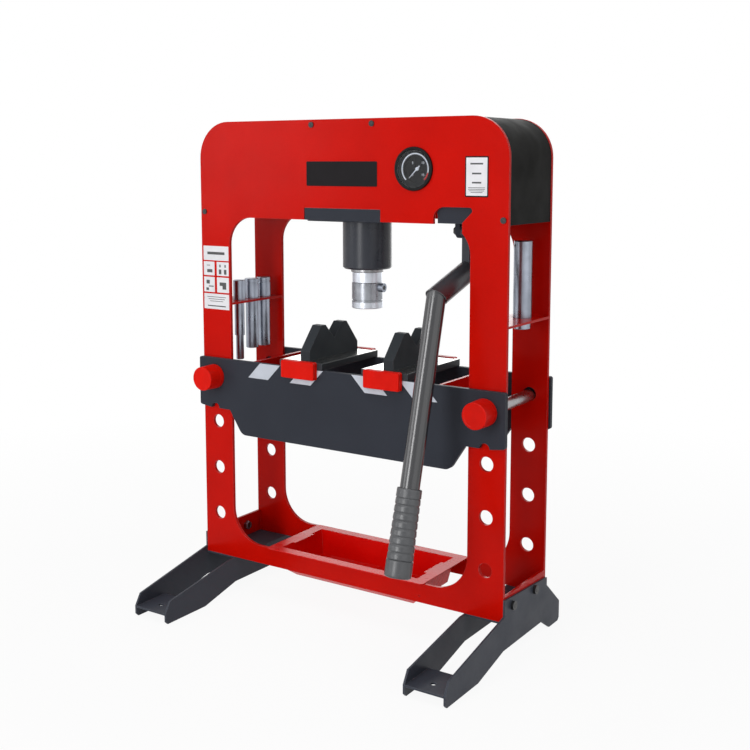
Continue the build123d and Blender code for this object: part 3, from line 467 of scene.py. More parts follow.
def lever_paint(name, tone):
    """Gloss paint on the lever: smooth on the long tube, duller above the bend, and painted paler
    there as painted light from above.
    """
    finish = Finish(name)
    upper = finish.spread(finish.height(), BEND[2] - 0.005, BEND[2] + 0.020, 0.0, 1.0)
    cloud = finish.noise(9.0, 3.0)
    smooth = finish.clouded(cloud, tone, 0.9, 1.08)
    # painted light: the tube above the bend is made paler to stand in for the light falling on it
    # from above
    pale = finish.clouded(cloud, tone, 1.5, 1.9)
    rounded = finish.round_normal(0.9 * MM)
    body = finish.rubbed_and_highlit(finish.blend(upper, smooth, pale), rounded, 0.3, tone, 0.45)
    uneven = finish.maths("ADD", finish.spread(upper, 0.0, 1.0, 0.19, 0.40),
                          finish.spread(finish.noise(26.0, 4.0), 0.3, 0.7, -0.02, 0.03))
    normal = finish.bump(finish.noise(520.0, 2.0), 0.03, 0.12 * MM, rounded)
    return finish.shade(body, uneven, normal, Specular_IOR_Level=0.8)


def sleeve_finish(name, tone):
    """The tool sleeve: a dull turned wall round the screw and a bright ground lip below."""
    low, high = box_of("tool_sleeve")
    finish = Finish(name)
    share = finish.spread(finish.height(), float(low[2]), float(high[2]), 0.0, 1.0)
    bright = finish.spread(share, 0.25, 0.22, 0.0, 1.0)
    cloud = finish.noise(70.0, 4.0)
    rings = finish.noise(1100.0, 3.0, (0.02, 0.02, 1.0))
    body = finish.blend(bright, finish.clouded(cloud, tone, 0.40, 0.60),
                        finish.clouded(cloud, tone, 0.92, 1.2))
    body = finish.blend(finish.spread(rings, 0.45, 0.7, 0.0, 0.3), body, scaled(tone, 0.5))
    rounded = finish.round_normal(0.7 * MM)
    body = finish.rubbed_and_highlit(body, rounded, 0.5, tone, 0.5)
    uneven = finish.spread(bright, 0.0, 1.0, 0.30, 0.36)
    uneven = finish.maths("ADD", uneven, finish.spread(cloud, 0.3, 0.7, -0.05, 0.07))
    normal = finish.bump(rings, 0.12, 0.05 * MM, rounded)
    return finish.shade(body, uneven, normal, Metallic=1.0)


def printed(name, tone, rough, gloss=0.2):
    """A printed sticker or plate: smooth film, faintly uneven, with a hair of relief."""
    finish = Finish(name)
    body = finish.clouded(finish.noise(40.0, 3.0), tone, 0.95, 1.03)
    uneven = finish.uneven(finish.noise(90.0, 3.0), rough)
    normal = finish.bump(finish.noise(160.0, 3.0), 0.06, 0.05 * MM)
    return finish.shade(body, uneven, normal, Specular_IOR_Level=gloss)


def clear_pane(name, tone):
    """A thin clear pane: it shows what lies behind and reflects more at a slant."""
    finish = Finish(name)
    smudge = finish.spread(finish.noise(55.0, 5.0), 0.45, 0.75, 0.02, 0.09)
    normal = finish.bump(finish.noise(18.0, 2.0), 0.04, 0.2 * MM)
    through = finish.add("ShaderNodeBsdfTransparent", {"Color": (*tone, 1.0)})
    gloss = finish.add("ShaderNodeBsdfGlossy", {"Roughness": smudge, "Normal": normal})
    slant = finish.add("ShaderNodeLayerWeight", {"Blend": 0.18})
    share = finish.spread(slant.outputs["Facing"], 0.0, 1.0, 0.008, 0.30)
    return finish.end(finish.add("ShaderNodeMixShader", {0: share, 1: through.outputs[0],
                                                         2: gloss.outputs[0]}))


def dress(material, *names):
    """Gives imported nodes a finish; their shapes stay as they are."""
    for name in names:
        node = NODES[name]
        if not node.material_slots:
            node.data.materials.append(material)
        for slot in node.material_slots:
            slot.material = material


def finish_named(name):
    """A finish that the first operator made."""
    return bpy.data.materials[name]


# ---------------------------------------------------------------- settings


class PressColours(bpy.types.PropertyGroup):
    """Colours of the finishes."""

    frame_red: colour("Frame red", "Powder coat of the frame", paint(200, 14, 3))
    # painted light: the tray's red is the frame's paint made brighter, standing in for the light
    # from above falling into the tray
    tray_red_painted_lit: colour("Tray red", "Powder coat of the drip tray", paint(226, 8, 2))
    knob_red: colour("Knob red", "Moulded knobs and grips", paint(220, 20, 6))
    anthracite: colour("Anthracite", "Coat of the feet, bed and cylinder", paint(51, 54, 62))
    lever_grey: colour("Lever grey", "Gloss paint of the lever", paint(36, 37, 41))
    cover_black: colour("Cover black", "Paint of the sheet cover", paint(31, 31, 30))
    screw_black: colour("Screw black", "Blackened screws", paint(30, 30, 32))
    zinc: colour("Zinc", "Zinc plate of the punches", paint(150, 156, 168))
    sleeve_steel: colour("Sleeve steel", "Ground steel of the tool sleeve", paint(196, 200, 208))
    bare_steel: colour("Bare steel", "Turned and oiled steel", paint(150, 150, 152))
    block_top: colour("Block top", "Milled tops of the V-block bases", paint(196, 196, 192))
    block_side: colour("Block side", "Paint of the V-blocks", paint(52, 56, 60))
    rubber: colour("Grip rubber", "Rubber of the lever's grip", paint(58, 60, 64))
    stripe: colour("Stripe", "Pale stripes on the bed", paint(198, 204, 214))
    label_white: colour("Label white", "Bare labels", paint(232, 232, 236))
    plate_black: colour("Plate black", "Bare name plate and label borders", paint(34, 32, 34))
    dial_black: colour("Dial black", "Dial and rim of the gauge", paint(13, 13, 14))


class PressGauge(bpy.types.PropertyGroup):
    """Sizes of the gauge's face."""

    rim_round: length("Rim round", "Rounding of the rim's edges", 1.6)
    ring_radius: length("Ring radius", "Inside of the raised ring round the dial", 22.6)
    ring_height: length("Ring height", "How far that ring stands off the dial", 8.4)
    scale_radius: length("Scale radius", "Middle of the white scale band", 25.2)
    scale_width: length("Scale width", "Width of the white scale band", 2.0)
    tick_radius: length("Tick radius", "Middle of the ring of small marks", 23.4)
    tick_length: length("Tick length", "Length of a small mark", 1.0)
    number_radius: length("Number radius", "Middle of the numbers", 14.0)
    number_height: length("Number height", "Height of a number", 3.6)
    print_height: length("Print height", "How far the print stands off the dial", 0.12)
    tick_count: IntProperty(name="Marks", description="Number of small marks", default=31, min=2)


class PressPlates(bpy.types.PropertyGroup):
    """Sizes of the bare plates, labels and stripes."""

    name_width: length("Name plate width", "Width of the bare name plate", 148.0)
    name_height: length("Name plate height", "Height of the bare name plate", 42.5)
    name_middle: length("Name plate middle", "Height of its middle over the floor", 799.7)
    name_thickness: length("Name plate thickness", "Thickness of the bare name plate", 0.8)
    label_width: length("Label width", "Width of the white label", 42.5)
    label_height: length("Label height", "Height of the white label", 65.0)
    label_border: length("Label border", "Width of its dark border", 2.2)
    label_x: length("Label place", "Middle of the label to the right", 263.8)
    label_z: length("Label level", "Middle of the label over the floor", 796.5)
    film: length("Film", "Thickness of a sticker", 0.25)
    stripe_drop: length("Stripe height", "Height of a stripe on the bed plate", 29.0)
    stripe_width: length("Stripe width", "Width of a stripe along the bed", 46.5)
    stripe_slant: length("Stripe slant", "How far a stripe moves aside from top to bottom", 28.0)


class PressHandles(bpy.types.PropertyGroup):
    """Sizes of the knobs and grips."""

    grip_neck: length("Grip neck", "Radius between the ribs of the lever's grip", 18.5)
    grip_rib: length("Grip rib", "How far a rib stands out", 1.5)
    grip_taper: length("Grip taper", "How much wider the grip is at its lower end", 1.7)
    grip_collar: length("Grip collar", "Length of the collar at the top", 14.0)
    grip_tail: length("Grip tail", "Length of the smooth lower end", 27.0)
    grip_ribs: IntProperty(name="Ribs", description="Number of ribs on the grip", default=8, min=1)
    knob_round: length("Knob round", "Rounding of a knob's edges", 3.2)
    knob_dish: length("Knob dish", "Hollow in the face of a knob", 0.7)
    block_grip_corner: length("Block grip corner", "Corner radius of a V-block's grip", 3.4)
    block_grip_edge: length("Block grip edge", "Rounding of its front edge", 2.4)


class PressFixings(bpy.types.PropertyGroup):
    """Sizes of the welds and small fixings."""

    bead_radius: length("Bead radius", "Half the width of a weld bead", 1.9)
    bead_pitch: length("Bead pitch", "Distance between the ripples of a bead", 2.4)
    mitre_bead: length("Mitre bead", "Half the width of the bead at the lever's bend", 0.9)
    socket_radius: length("Socket radius", "Radius of a screw's hexagon socket", 3.2)


class PressStage(bpy.types.PropertyGroup):
    """The floor, the lamps and the camera."""

    floor_radius: FloatProperty(name="Floor radius", description="Radius of the floor",
                                unit="LENGTH", default=9.0)
    shadow_share: FloatProperty(name="Shadow", description="How much of the shadow shows",
                                subtype="FACTOR", default=0.08, min=0.0, max=1.0)
    ambient: FloatProperty(name="Ambient", description="Light from all round",
                           subtype="FACTOR", default=0.26, min=0.0, max=2.0)
    key_power: power("Key lamp", "Power of the lamp at the left", 12.0)
    strip_power: power("Strip lamp", "Power of the upright strip lamp", 21.0)
    fill_power: power("Fill lamp", "Power of the lamp at the right", 17.0)
    rear_power: power("Rear lamp", "Power of the lamp behind the part", 26.0)
    top_power: power("Top lamp", "Power of the lamp overhead", 24.0)
    lens: FloatProperty(name="Lens", description="Focal length of the camera in millimetres",
                        default=54.47)


# ---------------------------------------------------------------- operators


class PRESS_OT_finishes(bpy.types.Operator):
    """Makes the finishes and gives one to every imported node"""

    bl_idname = "press.finishes"
    bl_label = "Finishes"

    def execute(self, context):
        tones = context.scene.press_colours
        red = powder_coat("frame red coat", tones.frame_red, rough=0.22, peel=0.12, gloss=0.07)
        # the tray's brighter red is painted light from above
        tray = powder_coat("tray red coat", tones.tray_red_painted_lit, rough=0.26, peel=0.12, gloss=0.10)
        grey = powder_coat("anthracite coat", tones.anthracite, rough=0.44, peel=0.20, gloss=0.08)
        # painted light: the feet take the anthracite made 1.5 times lighter, standing in for more
        # light on them from low at the right
        feet = powder_coat("foot coat painted lighter", scaled(tones.anthracite, 1.5), rough=0.40, peel=0.20,
                           gloss=0.12)
        tube = lever_paint("lever coat", tones.lever_grey)
        barrel = powder_coat("cylinder coat", tones.anthracite, rough=0.30, peel=0.08, gloss=0.28)
        cover = powder_coat("cover black coat", tones.cover_black, rough=0.50, peel=0.35,
                            gloss=0.03, edge_wear_and_highlight=0.15)
        blocks = powder_coat("V block coat", tones.block_side, rough=0.55, peel=0.25, gloss=0.08)
        zinc = plated_steel("zinc plate", tones.zinc, rough=0.30, rings=0.015, dull=0.10)
        steel = plated_steel("turned steel", tones.bare_steel, rough=0.30, rings=0.18, dull=0.35)
        pins = plated_steel("pin steel", scaled(tones.bare_steel, 1.3), rough=0.26, rings=0.14,
                            dull=0.3, axis="Y")
        chrome = plated_steel("ground chrome", scaled(tones.sleeve_steel, 1.1), rough=0.36,
                              rings=0.04, dull=0.10)
        wire = plated_steel("spring wire", scaled(tones.bare_steel, 0.5), rough=0.38, rings=0.2,
                            dull=0.3)
        black = powder_coat("blackened screws", tones.screw_black, rough=0.36, peel=0.10,
                            gloss=0.4, edge_wear_and_highlight=0.45, coat=0.05, radius=0.4 * MM)
        knobs = moulded("knob plastic", tones.knob_red, rough=0.34, grain=260.0, strength=0.10,
                        edge_wear_and_highlight=0.22, gloss=0.09, specks=0.04)
        grip = moulded("grip rubber", scaled(tones.rubber, 0.9), rough=0.38, grain=900.0,
                       strength=0.15, edge_wear_and_highlight=0.30, gloss=0.85)
        seal = moulded("seal rubber", scaled(tones.rubber, 0.5), rough=0.5, grain=700.0,
                       strength=0.2, edge_wear_and_highlight=0.2, gloss=0.3)
        case = moulded("gauge plastic", tones.dial_black, rough=0.24, grain=300.0, strength=0.05,
                       edge_wear_and_highlight=0.12, gloss=0.16, specks=0.02)
        dial = printed("dial black", tones.dial_black, 0.45, 0.05)
        printed("dial print", tones.label_white, 0.5)
        printed("dial red print", tones.knob_red, 0.5)
        needle = printed("needle white", tones.label_white, 0.4)
        printed("label white film", tones.label_white, 0.42)
        printed("label grey print", scaled(tones.label_white, 0.12), 0.5)
        printed("name plate black", tones.plate_black, 0.34, 0.05)
        printed("stripe film", tones.stripe, 0.40)
        bases = milled_top("V base", tones.block_side, tones.block_top)
        sleeve = sleeve_finish("tool sleeve steel", tones.sleeve_steel)
        pane = clear_pane("clear pane", (0.96, 0.98, 1.0))

        dress(red, "front_frame_plate", "rear_frame_plate", "left_side_web", "right_side_web",
              "bed_left_web", "bed_right_web", "left_punch_rack", "right_punch_rack")
        dress(tray, "drip_tray")
        dress(grey, "cylinder_block", "pump_body", "bed_front_plate", "bed_rear_plate")
        dress(feet, "left_foot", "right_foot")
        dress(tube, "lever_tube")
        dress(barrel, "cylinder_barrel", "lever_link")
        dress(cover, "top_cover")
        dress(blocks, "left_v_plate", "right_v_plate")
        dress(bases, "left_v_base", "right_v_base")
        dress(black, "foot_bolts", "cover_bolts", "pivot_bolt")
        dress(zinc, "slim_punch", "middle_punch", "rear_punch", "large_punch", "foot_nuts",
              "clamp_screw")
        dress(sleeve, "tool_sleeve")
        dress(steel, "cylinder_cap", "cylinder_nut", "cylinder_gland", "release_valve",
              "plunger_pin", "oil_pipe", "gauge_pipe")
        dress(pins, "left_pin", "right_pin")
        dress(chrome, "ram", "pump_plunger")
        dress(wire, "return_spring")
        dress(seal, "piston_seal")
        dress(knobs, "left_pin_knob", "right_pin_knob", "left_front_grip", "left_rear_grip",
              "right_front_grip", "right_rear_grip")
        dress(grip, "lever_grip")
        dress(case, "gauge_case", "gauge_bezel")
        dress(dial, "gauge_dial")
        dress(needle, "gauge_needle")
        dress(pane, "gauge_glass")
        return {"FINISHED"}


DIGITS = {
    "0": 0.5 * np.array([0.62, 1.0]) * arc(1.0, 90, -270, 25),
    "1": np.array([[-0.16, 0.34], [0.0, 0.5], [0.0, 0.2], [0.0, -0.5]]),
    "5": np.vstack([[[0.26, 0.5], [-0.22, 0.5], [-0.25, 0.06]],
                    [0.0, -0.18] + arc(0.31, 130, -140, 14)]),
}


def number(text, middle, height, width, low, high):
    """Upright figures in strokes, side by side about a middle."""
    pitch = 0.78 * height
    first = -pitch * (len(text) - 1) / 2
    return [stroke(middle + [first + pitch * place, 0] + DIGITS[figure] * height, width, low, high)
            for place, figure in enumerate(text)]


class PRESS_OT_gauge(bpy.types.Operator):
    """Makes the gauge's rounded rim, its raised scale ring and the print"""

    bl_idname = "press.gauge"
    bl_label = "Gauge"

    def execute(self, context):
        sizes = context.scene.press_gauge
        low, high = box_of("gauge_bezel")
        dial_low, dial_high = box_of("gauge_dial")
        glass_low, glass_high = box_of("gauge_glass")
        middle = (low + high) / 2
        outer = (high[0] - low[0]) / 2
        inner = (dial_high[0] - dial_low[0]) / 2 - 0.2 * MM
        opening = (glass_high[0] - glass_low[0]) / 2 - 0.3 * MM
        shelf, lip = glass_high[1] + 0.1 * MM, glass_low[1] - 0.1 * MM
        corners = [(inner, high[1]), (inner, shelf), (opening, shelf), (opening, lip),
                   (opening + 1.4 * MM, low[1]), (outer - 0.8 * MM, low[1]),
                   (outer, low[1] + 2.0 * MM), (outer, high[1]), (inner, high[1])]
        rim = turned(softened(corners, sizes.rim_round * 0.25), (middle[0], 0, middle[2]),
                     (0, 1, 0), 128)
        piece("gauge_rim", [rim], "frame", finish_named("gauge plastic"),
              ["gauge_bezel"])

        face = dial_low[1]
        raised = face - sizes.ring_height
        edge = sizes.ring_radius
        corners = [(edge, face + SINK), (edge, raised), (inner - 0.2 * MM, raised),
                   (inner - 0.2 * MM, face + SINK), (edge, face + SINK)]
        ring = turned(softened(corners, 0.3 * MM), (middle[0], 0, middle[2]), (0, 1, 0), 96)
        piece("scale_ring", [ring], "frame", finish_named("dial black"))
        top, bottom = raised - sizes.print_height, raised + SINK
        low_top, low_bottom = face - sizes.print_height, face + SINK
        centre = np.array([middle[0], middle[2]])
        first, last = 225.0, -45.0
        white = [stroke(centre + arc(sizes.scale_radius, first, -14, 90), sizes.scale_width,
                        bottom, top)]
        marks = np.linspace(first, last, sizes.tick_count)
        half = sizes.tick_length / 2
        reach = np.array([-half, 0.0, half])[None, :, None]
        way = np.stack([np.cos(np.radians(marks)), np.sin(np.radians(marks))], -1)[:, None]
        ticks = centre + way * (sizes.tick_radius + reach)
        white += [stroke(tick, (0.7 if place % 5 == 0 else 0.4) * MM, bottom, top)
                  for place, tick in enumerate(ticks)]
        for text, turn in (("0", first), ("5", 135.0), ("10", 45.0), ("15", last)):
            spot = centre + arc(sizes.number_radius, turn, turn, 1)[0]
            white += number(text, spot, sizes.number_height, 0.6 * MM, low_bottom, low_top)
        piece("dial_print", white, "frame", finish_named("dial print"))
        red = [stroke(centre + arc(sizes.scale_radius, -15, last, 30), sizes.scale_width,
                      bottom, top)]
        piece("dial_red_zone", red, "frame", finish_named("dial red print"))
        return {"FINISHED"}


# plain marks on the stickers: middle x and z, half length and thickness, in millimetres
STICKER_MARKS = (
    (-287.1, 650.5, 21.0, 5.0),
    (-303.0, 617.0, 6.5, 6.0), (-306.0, 627.5, 4.0, 1.2),
    (-277.5, 616.0, 3.0, 9.0), (-265.0, 616.0, 3.0, 9.0), (-277.5, 627.0, 1.6, 5.0),
    (-265.0, 627.0, 1.6, 5.0),
    (-307.5, 596.0, 4.0, 7.0), (-300.0, 588.0, 6.0, 2.0), (-309.0, 582.5, 3.2, 5.0),
    (-271.0, 593.0, 8.0, 6.5), (-267.5, 586.5, 4.5, 6.5),
    (-287.1, 568.0, 23.0, 1.1), (-287.1, 564.0, 20.0, 1.1), (-287.1, 560.0, 16.0, 1.1),
    (-287.1, 551.0, 22.0, 2.0),
)


class PRESS_OT_plates(bpy.types.Operator):
    """Lays the bare name plate, the labels and the bed's stripes on their plates"""

    bl_idname = "press.plates"
    bl_label = "Plates and stripes"

    def execute(self, context):
        sizes = context.scene.press_plates
        front = box_of("front_frame_plate")[0][1]
        thick = sizes.name_thickness
        levels = [(0, SINK), (0, -thick * 0.6), (thick * 0.15, -thick * 0.9), (thick * 0.5, -thick)]
        name_plate = plate((0, front, sizes.name_middle), sizes.name_width, sizes.name_height,
                           2.5 * MM, levels)
        piece("name_plate", [name_plate], "frame",
              finish_named("name plate black"))

        film = [(0, SINK), (0, -sizes.film * 0.6), (0.1 * MM, -sizes.film)]
        spot = (sizes.label_x, front, sizes.label_z)
        piece("label_border", [plate(spot, sizes.label_width, sizes.label_height, 2.0 * MM, film)],
              "frame", finish_named("name plate black"))
        over = (sizes.label_x, front - sizes.film, sizes.label_z)
        inner_width = sizes.label_width - 2 * sizes.label_border
        inner_height = sizes.label_height - 2 * sizes.label_border
        piece("label_field", [plate(over, inner_width, inner_height, 1.0 * MM, film)],
              "frame", finish_named("label white film"))
        rule_level = front - 2 * sizes.film
        # height over the label's middle in mm, half length as a share of its width, mm thick
        bars = ((20.5, 0.30, 2.6), (5.0, 0.22, 2.6), (-9.5, 0.22, 2.6), (-17.5, 0.40, 0.9),
                (-20.0, 0.40, 0.9), (-22.5, 0.36, 0.9), (-25.0, 0.28, 0.9))
        rules = [self.bar(sizes.label_x, sizes.label_z + rise * MM, share * inner_width,
                          thick * MM, rule_level) for rise, share, thick in bars]
        piece("label_rules", rules, "frame", finish_named("label grey print"))

        # edges of the stickers on the left leg, in millimetres
        left, right = -317.8, -256.5
        split = (-291.2, -285.7)
        rows = ((664.0, 637.0), (634.5, 608.5), (605.5, 577.0), (574.0, 545.0))
        fields = [(left, right, *rows[0]), (left, split[0], *rows[1]), (split[1], right, *rows[1]),
                  (left, split[0], *rows[2]), (split[1], right, *rows[2]),
                  (left, right, *rows[3])]
        stickers = [plate(((a + b) / 2 * MM, front, (c + d) / 2 * MM), (b - a) * MM, (c - d) * MM,
                          1.0 * MM, film) for a, b, c, d in fields]
        piece("leg_stickers", stickers, "frame", finish_named("label white film"))
        marks = [self.bar(x * MM, z * MM, half * MM, thick * MM, front - sizes.film)
                 for x, z, half, thick in STICKER_MARKS]
        piece("sticker_marks", marks, "frame", finish_named("label grey print"))

        low, high = box_of("bed_front_plate")
        lean = sizes.stripe_slant / sizes.stripe_drop
        level = high[2] - sizes.stripe_drop / 2 - 0.3 * MM
        # each stripe's middle in millimetres and the side that it leans to
        stripes = [plate((x * MM, low[1], level), sizes.stripe_width, sizes.stripe_drop, 0.4 * MM,
                         film, lean * side)
                   for x, side in ((-168.6, 1), (-72.0, 1), (63.0, -1), (162.0, -1))]
        piece("bed_stripes", stripes, "frame", finish_named("stripe film"))
        return {"FINISHED"}

    def bar(self, x, z, half, thick, level):
        """A plain printed bar on a film, half its length to each side of x."""
        return stroke(line((x - half, z), (x + half, z)), thick, level + SINK, level - 0.06 * MM)


class PRESS_OT_lever_grip(bpy.types.Operator):
    """Makes the ribbed rubber grip at the lever's end"""

    bl_idname = "press.lever_grip"
    bl_label = "Lever grip"

    def execute(self, context):
        sizes = context.scene.press_handles
        corners = np.array([vertex.co for vertex in NODES["lever_grip"].data.vertices])
        way = unit(LOWER_WAY)
        reach = corners @ way
        low, high = reach.min(), reach.max()
        spine = corners.mean(0)
        start = spine - way * (spine @ way - low)
        start[0] = (corners[:, 0].min() + corners[:, 0].max()) / 2
        whole = high - low
        along = np.linspace(0, whole, 420)
        ribs = np.clip((along - sizes.grip_collar)
                       / (whole - sizes.grip_collar - sizes.grip_tail), 0, 1)
        turn = ribs * sizes.grip_ribs % 1.0
        wave = np.where((ribs > 0) & (ribs < 1), np.clip(np.sin(np.pi * turn) * 1.6, 0, 1)
                        * (0.65 + 0.35 * turn), 1.0)
        radius = (sizes.grip_neck + sizes.grip_taper * along / whole + sizes.grip_rib * wave)
        mouth = np.clip(along / (3.0 * MM), 0, 1)
        tail = np.clip((whole - along) / (4.0 * MM), 0, 1)
        radius = radius - 1.2 * MM * (1 - np.sqrt(1 - (1 - mouth) ** 2))
        radius = radius - 3.0 * MM * (1 - np.sqrt(1 - (1 - tail) ** 2))
        profile = np.stack([radius, along], -1)
        profile = np.vstack([[[0, along[0]]], profile, [[0, along[-1]]]])
        grip = turned(profile, start, way, 96)
        piece("ribbed_grip", [grip], "lever", finish_named("grip rubber"),
              ["lever_grip"])
        return {"FINISHED"}


class PRESS_OT_knobs(bpy.types.Operator):
    """Makes the round knobs of the bed pins"""

    bl_idname = "press.knobs"
    bl_label = "Pin knobs"

    def execute(self, context):
        sizes = context.scene.press_handles
        for side in ("left", "right"):
            low, high = box_of(f"{side}_pin_knob")
            middle = (low + high) / 2
            radius = (high[0] - low[0]) / 2
            front, back = low[1], high[1]
            corners = [(0, front + sizes.knob_dish), (radius * 0.78, front + sizes.knob_dish * 0.6),
                       (radius * 0.86, front), (radius, front + 0.2 * MM), (radius, back - 9 * MM),
                       (radius - 0.5 * MM, back - 8 * MM), (radius, back - 7 * MM),
                       (radius, back), (0, back)]
            profile = softened(corners, 0.45 * MM)
            shape = np.clip((profile[:, 1] - front) / sizes.knob_round, 0, 1)
            rounding = sizes.knob_round * (1 - np.sqrt(1 - (1 - shape) ** 2))
            outer = profile[:, 0] > radius - 0.7 * MM
            profile[outer, 0] -= rounding[outer] * 0.6
            knob = turned(profile, (middle[0], 0, middle[2]), (0, 1, 0), 96)
            piece(f"{side}_round_knob", [knob], f"{side}_bed_pin",
                  finish_named("knob plastic"), [f"{side}_pin_knob"])
        return {"FINISHED"}


class PRESS_OT_block_grips(bpy.types.Operator):
    """Makes the moulded grips at both ends of the V-blocks"""

    bl_idname = "press.block_grips"
    bl_label = "V-block grips"

    def execute(self, context):
        sizes = context.scene.press_handles
        edge = sizes.block_grip_edge
        for side in ("left", "right"):
            for end in ("front", "rear"):
                low, high = box_of(f"{side}_{end}_grip")
                deep = high[1] - low[1]
                turn = np.linspace(0, np.pi / 2, 6)
                outward = [(edge * (1 - math.cos(angle)), -deep + edge * (1 - math.sin(angle)))
                           for angle in turn]
                levels = [(0.6 * MM, 0.0), (0, -0.6 * MM), (0, -deep * 0.55),
                          (0.35 * MM, -deep * 0.55 - 0.5 * MM), (0, -deep * 0.55 - 1.0 * MM)]
                levels = np.array(levels + outward)
                middle = (low + high) / 2
                middle[1] = high[1] if end == "front" else low[1]
                if end == "rear":
                    levels[:, 1] *= -1
                grip = plate(middle, high[0] - low[0], high[2] - low[2], sizes.block_grip_corner,
                             levels)
                piece(f"{side}_{end}_moulded_grip", [grip], f"{side}_v_block",
                      finish_named("knob plastic"), [f"{side}_{end}_grip"])
        return {"FINISHED"}


class PRESS_OT_welds(bpy.types.Operator):
    """Lays weld beads on the frame and at the lever's bend"""

    bl_idname = "press.welds"
    bl_label = "Welds"

    def execute(self, context):
        sizes = context.scene.press_fixings
        radius, pitch = sizes.bead_radius, sizes.bead_pitch
        front = box_of("front_frame_plate")[1][1]
        rear = box_of("rear_frame_plate")[0][1]
        paths = []
        for side in ("left", "right"):
            low, high = box_of(f"{side}_punch_rack")
            for y in (front, rear):
                paths.append(line((low[0] + 4 * MM, y, low[2]), (high[0] - 4 * MM, y, low[2])))
            low, high = box_of(f"{side}_side_web")
            x = high[0] if side == "left" else low[0]
            for y in (front, rear):
                paths.append(line((x, y, low[2] + 3 * MM), (x, y, high[2] - 3 * MM)))
        piece("frame_welds", [bead(path, radius, pitch, 0.28) for path in paths], "frame",
              finish_named("frame red coat"))

        low, high = box_of("cylinder_block")
        paths = [line((low[0] + 3 * MM, y, low[2]), (high[0] - 3 * MM, y, low[2]))
                 for y in (front, rear)]
        for side in ("left", "right"):
            low, high = box_of(f"bed_{side}_web")
            x = high[0] if side == "left" else low[0]
            for y in (low[1], high[1]):
                paths.append(line((x, y, low[2] + 4 * MM), (x, y, high[2] - 4 * MM)))
        piece("dark_welds", [bead(path, radius, pitch, 0.28) for path in paths], "frame",
              finish_named("anthracite coat"))

        upper = unit(BEND - UPPER_START)
        normal = unit(upper + unit(LOWER_WAY))
        side = np.array([1.0, 0.0, 0.0])
        other = np.cross(upper, side)
        angle = np.linspace(0, 2 * np.pi, 160)[:, None]
        ring = 16.9 * MM * (side * np.cos(angle) + other * np.sin(angle))
        ring = ring - upper * (ring @ normal)[:, None] / (upper @ normal)
        mitre = bead(BEND + ring, sizes.mitre_bead, 2.0 * MM, 0.25)
        piece("mitre_weld", [mitre], "lever", finish_named("lever coat"))
        return {"FINISHED"}


class PRESS_OT_fixings(bpy.types.Operator):
    """Adds screw heads, dark hexagons as screw sockets whose dark is painted shade, the bed's stud
    and the screw on the large punch
    """

    bl_idname = "press.fixings"
    bl_label = "Small fixings"

    def execute(self, context):
        sizes = context.scene.press_fixings
        radius = sizes.socket_radius
        black = finish_named("blackened screws")

        def dome(centre, axis, reach, height):
            """A low dome: its height falls with the square of the distance from the middle."""
            share = np.linspace(0, 1, 8)
            rise = height * (1 - share ** 2)
            profile = np.vstack([[[0, -SINK]], [[reach, -SINK]],
                                 np.stack([reach * share, rise], -1)[::-1]])
            return turned(profile, centre, axis, 32)

        def painted_socket_shade(centre, axis, reach):
            """A flat dark hexagon on a screw head, with the thin ring round it; its dark is painted
            shade standing in for the socket's recess.
            """
            return turned([(0, -SINK), (reach, -SINK), (reach, 0.12 * MM), (0, 0.12 * MM)],
                          centre, axis, 6)

        heads = []
        low, high = box_of("foot_bolts")
        # painted shade: dark hexagons stand for the sockets in the foot bolts
        for side, x in ((1, high[0]), (-1, low[0])):
            for y in (17.0, 101.0):
                heads.append(painted_socket_shade((x, y * MM, 90.0 * MM), (side, 0, 0), radius))
        piece("bolt_socket_shades", heads, "frame", black)

        low, high = box_of("cover_bolts")
        # x and z of the cover's screws in millimetres
        places = ((-63.0, 884.0), (63.0, 884.0), (-312.5, 728.0), (312.5, 728.0))
        caps = [dome((x * MM, y, z * MM), (0, way, 0), 2.6 * MM, 0.5 * MM)
                for y, way in ((low[1], -1), (high[1], 1)) for x, z in places]
        piece("cover_screw_caps", caps, "frame", black)

        face = box_of("front_frame_plate")[0][1]
        piece("sill_screw", [dome((160.0 * MM, face, 80.0 * MM), (0, -1, 0), 2.4 * MM, 0.9 * MM)],
              "frame", finish_named("frame red coat"))
        bed = box_of("bed_front_plate")[0][1]
        piece("bed_stud", [dome((192.0 * MM, bed, 429.0 * MM), (0, -1, 0), 1.1 * MM, 0.5 * MM)],
              "frame", finish_named("zinc plate"))

        low, high = box_of("clamp_screw")
        middle = (low + high) / 2
        # painted shade: a black hexagon on the zinc screw stands for its socket's recess
        floor = painted_socket_shade((high[0], middle[1], middle[2]), (1, 0, 0), 4.4 * MM)
        piece("clamp_socket_shade", [floor], "press_ram", black)

        low, high = box_of("large_punch")
        middle = (low + high) / 2
        shank = (high[0] - low[0]) / 2
        way = unit([-0.62, -0.78, 0.0])
        spot = np.array([middle[0], middle[1], high[2] - 8 * MM]) + way * (shank - 0.15 * MM)
        piece("punch_screw", [dome(spot, way, 2.6 * MM, 0.35 * MM)], "frame",
              black)
        return {"FINISHED"}


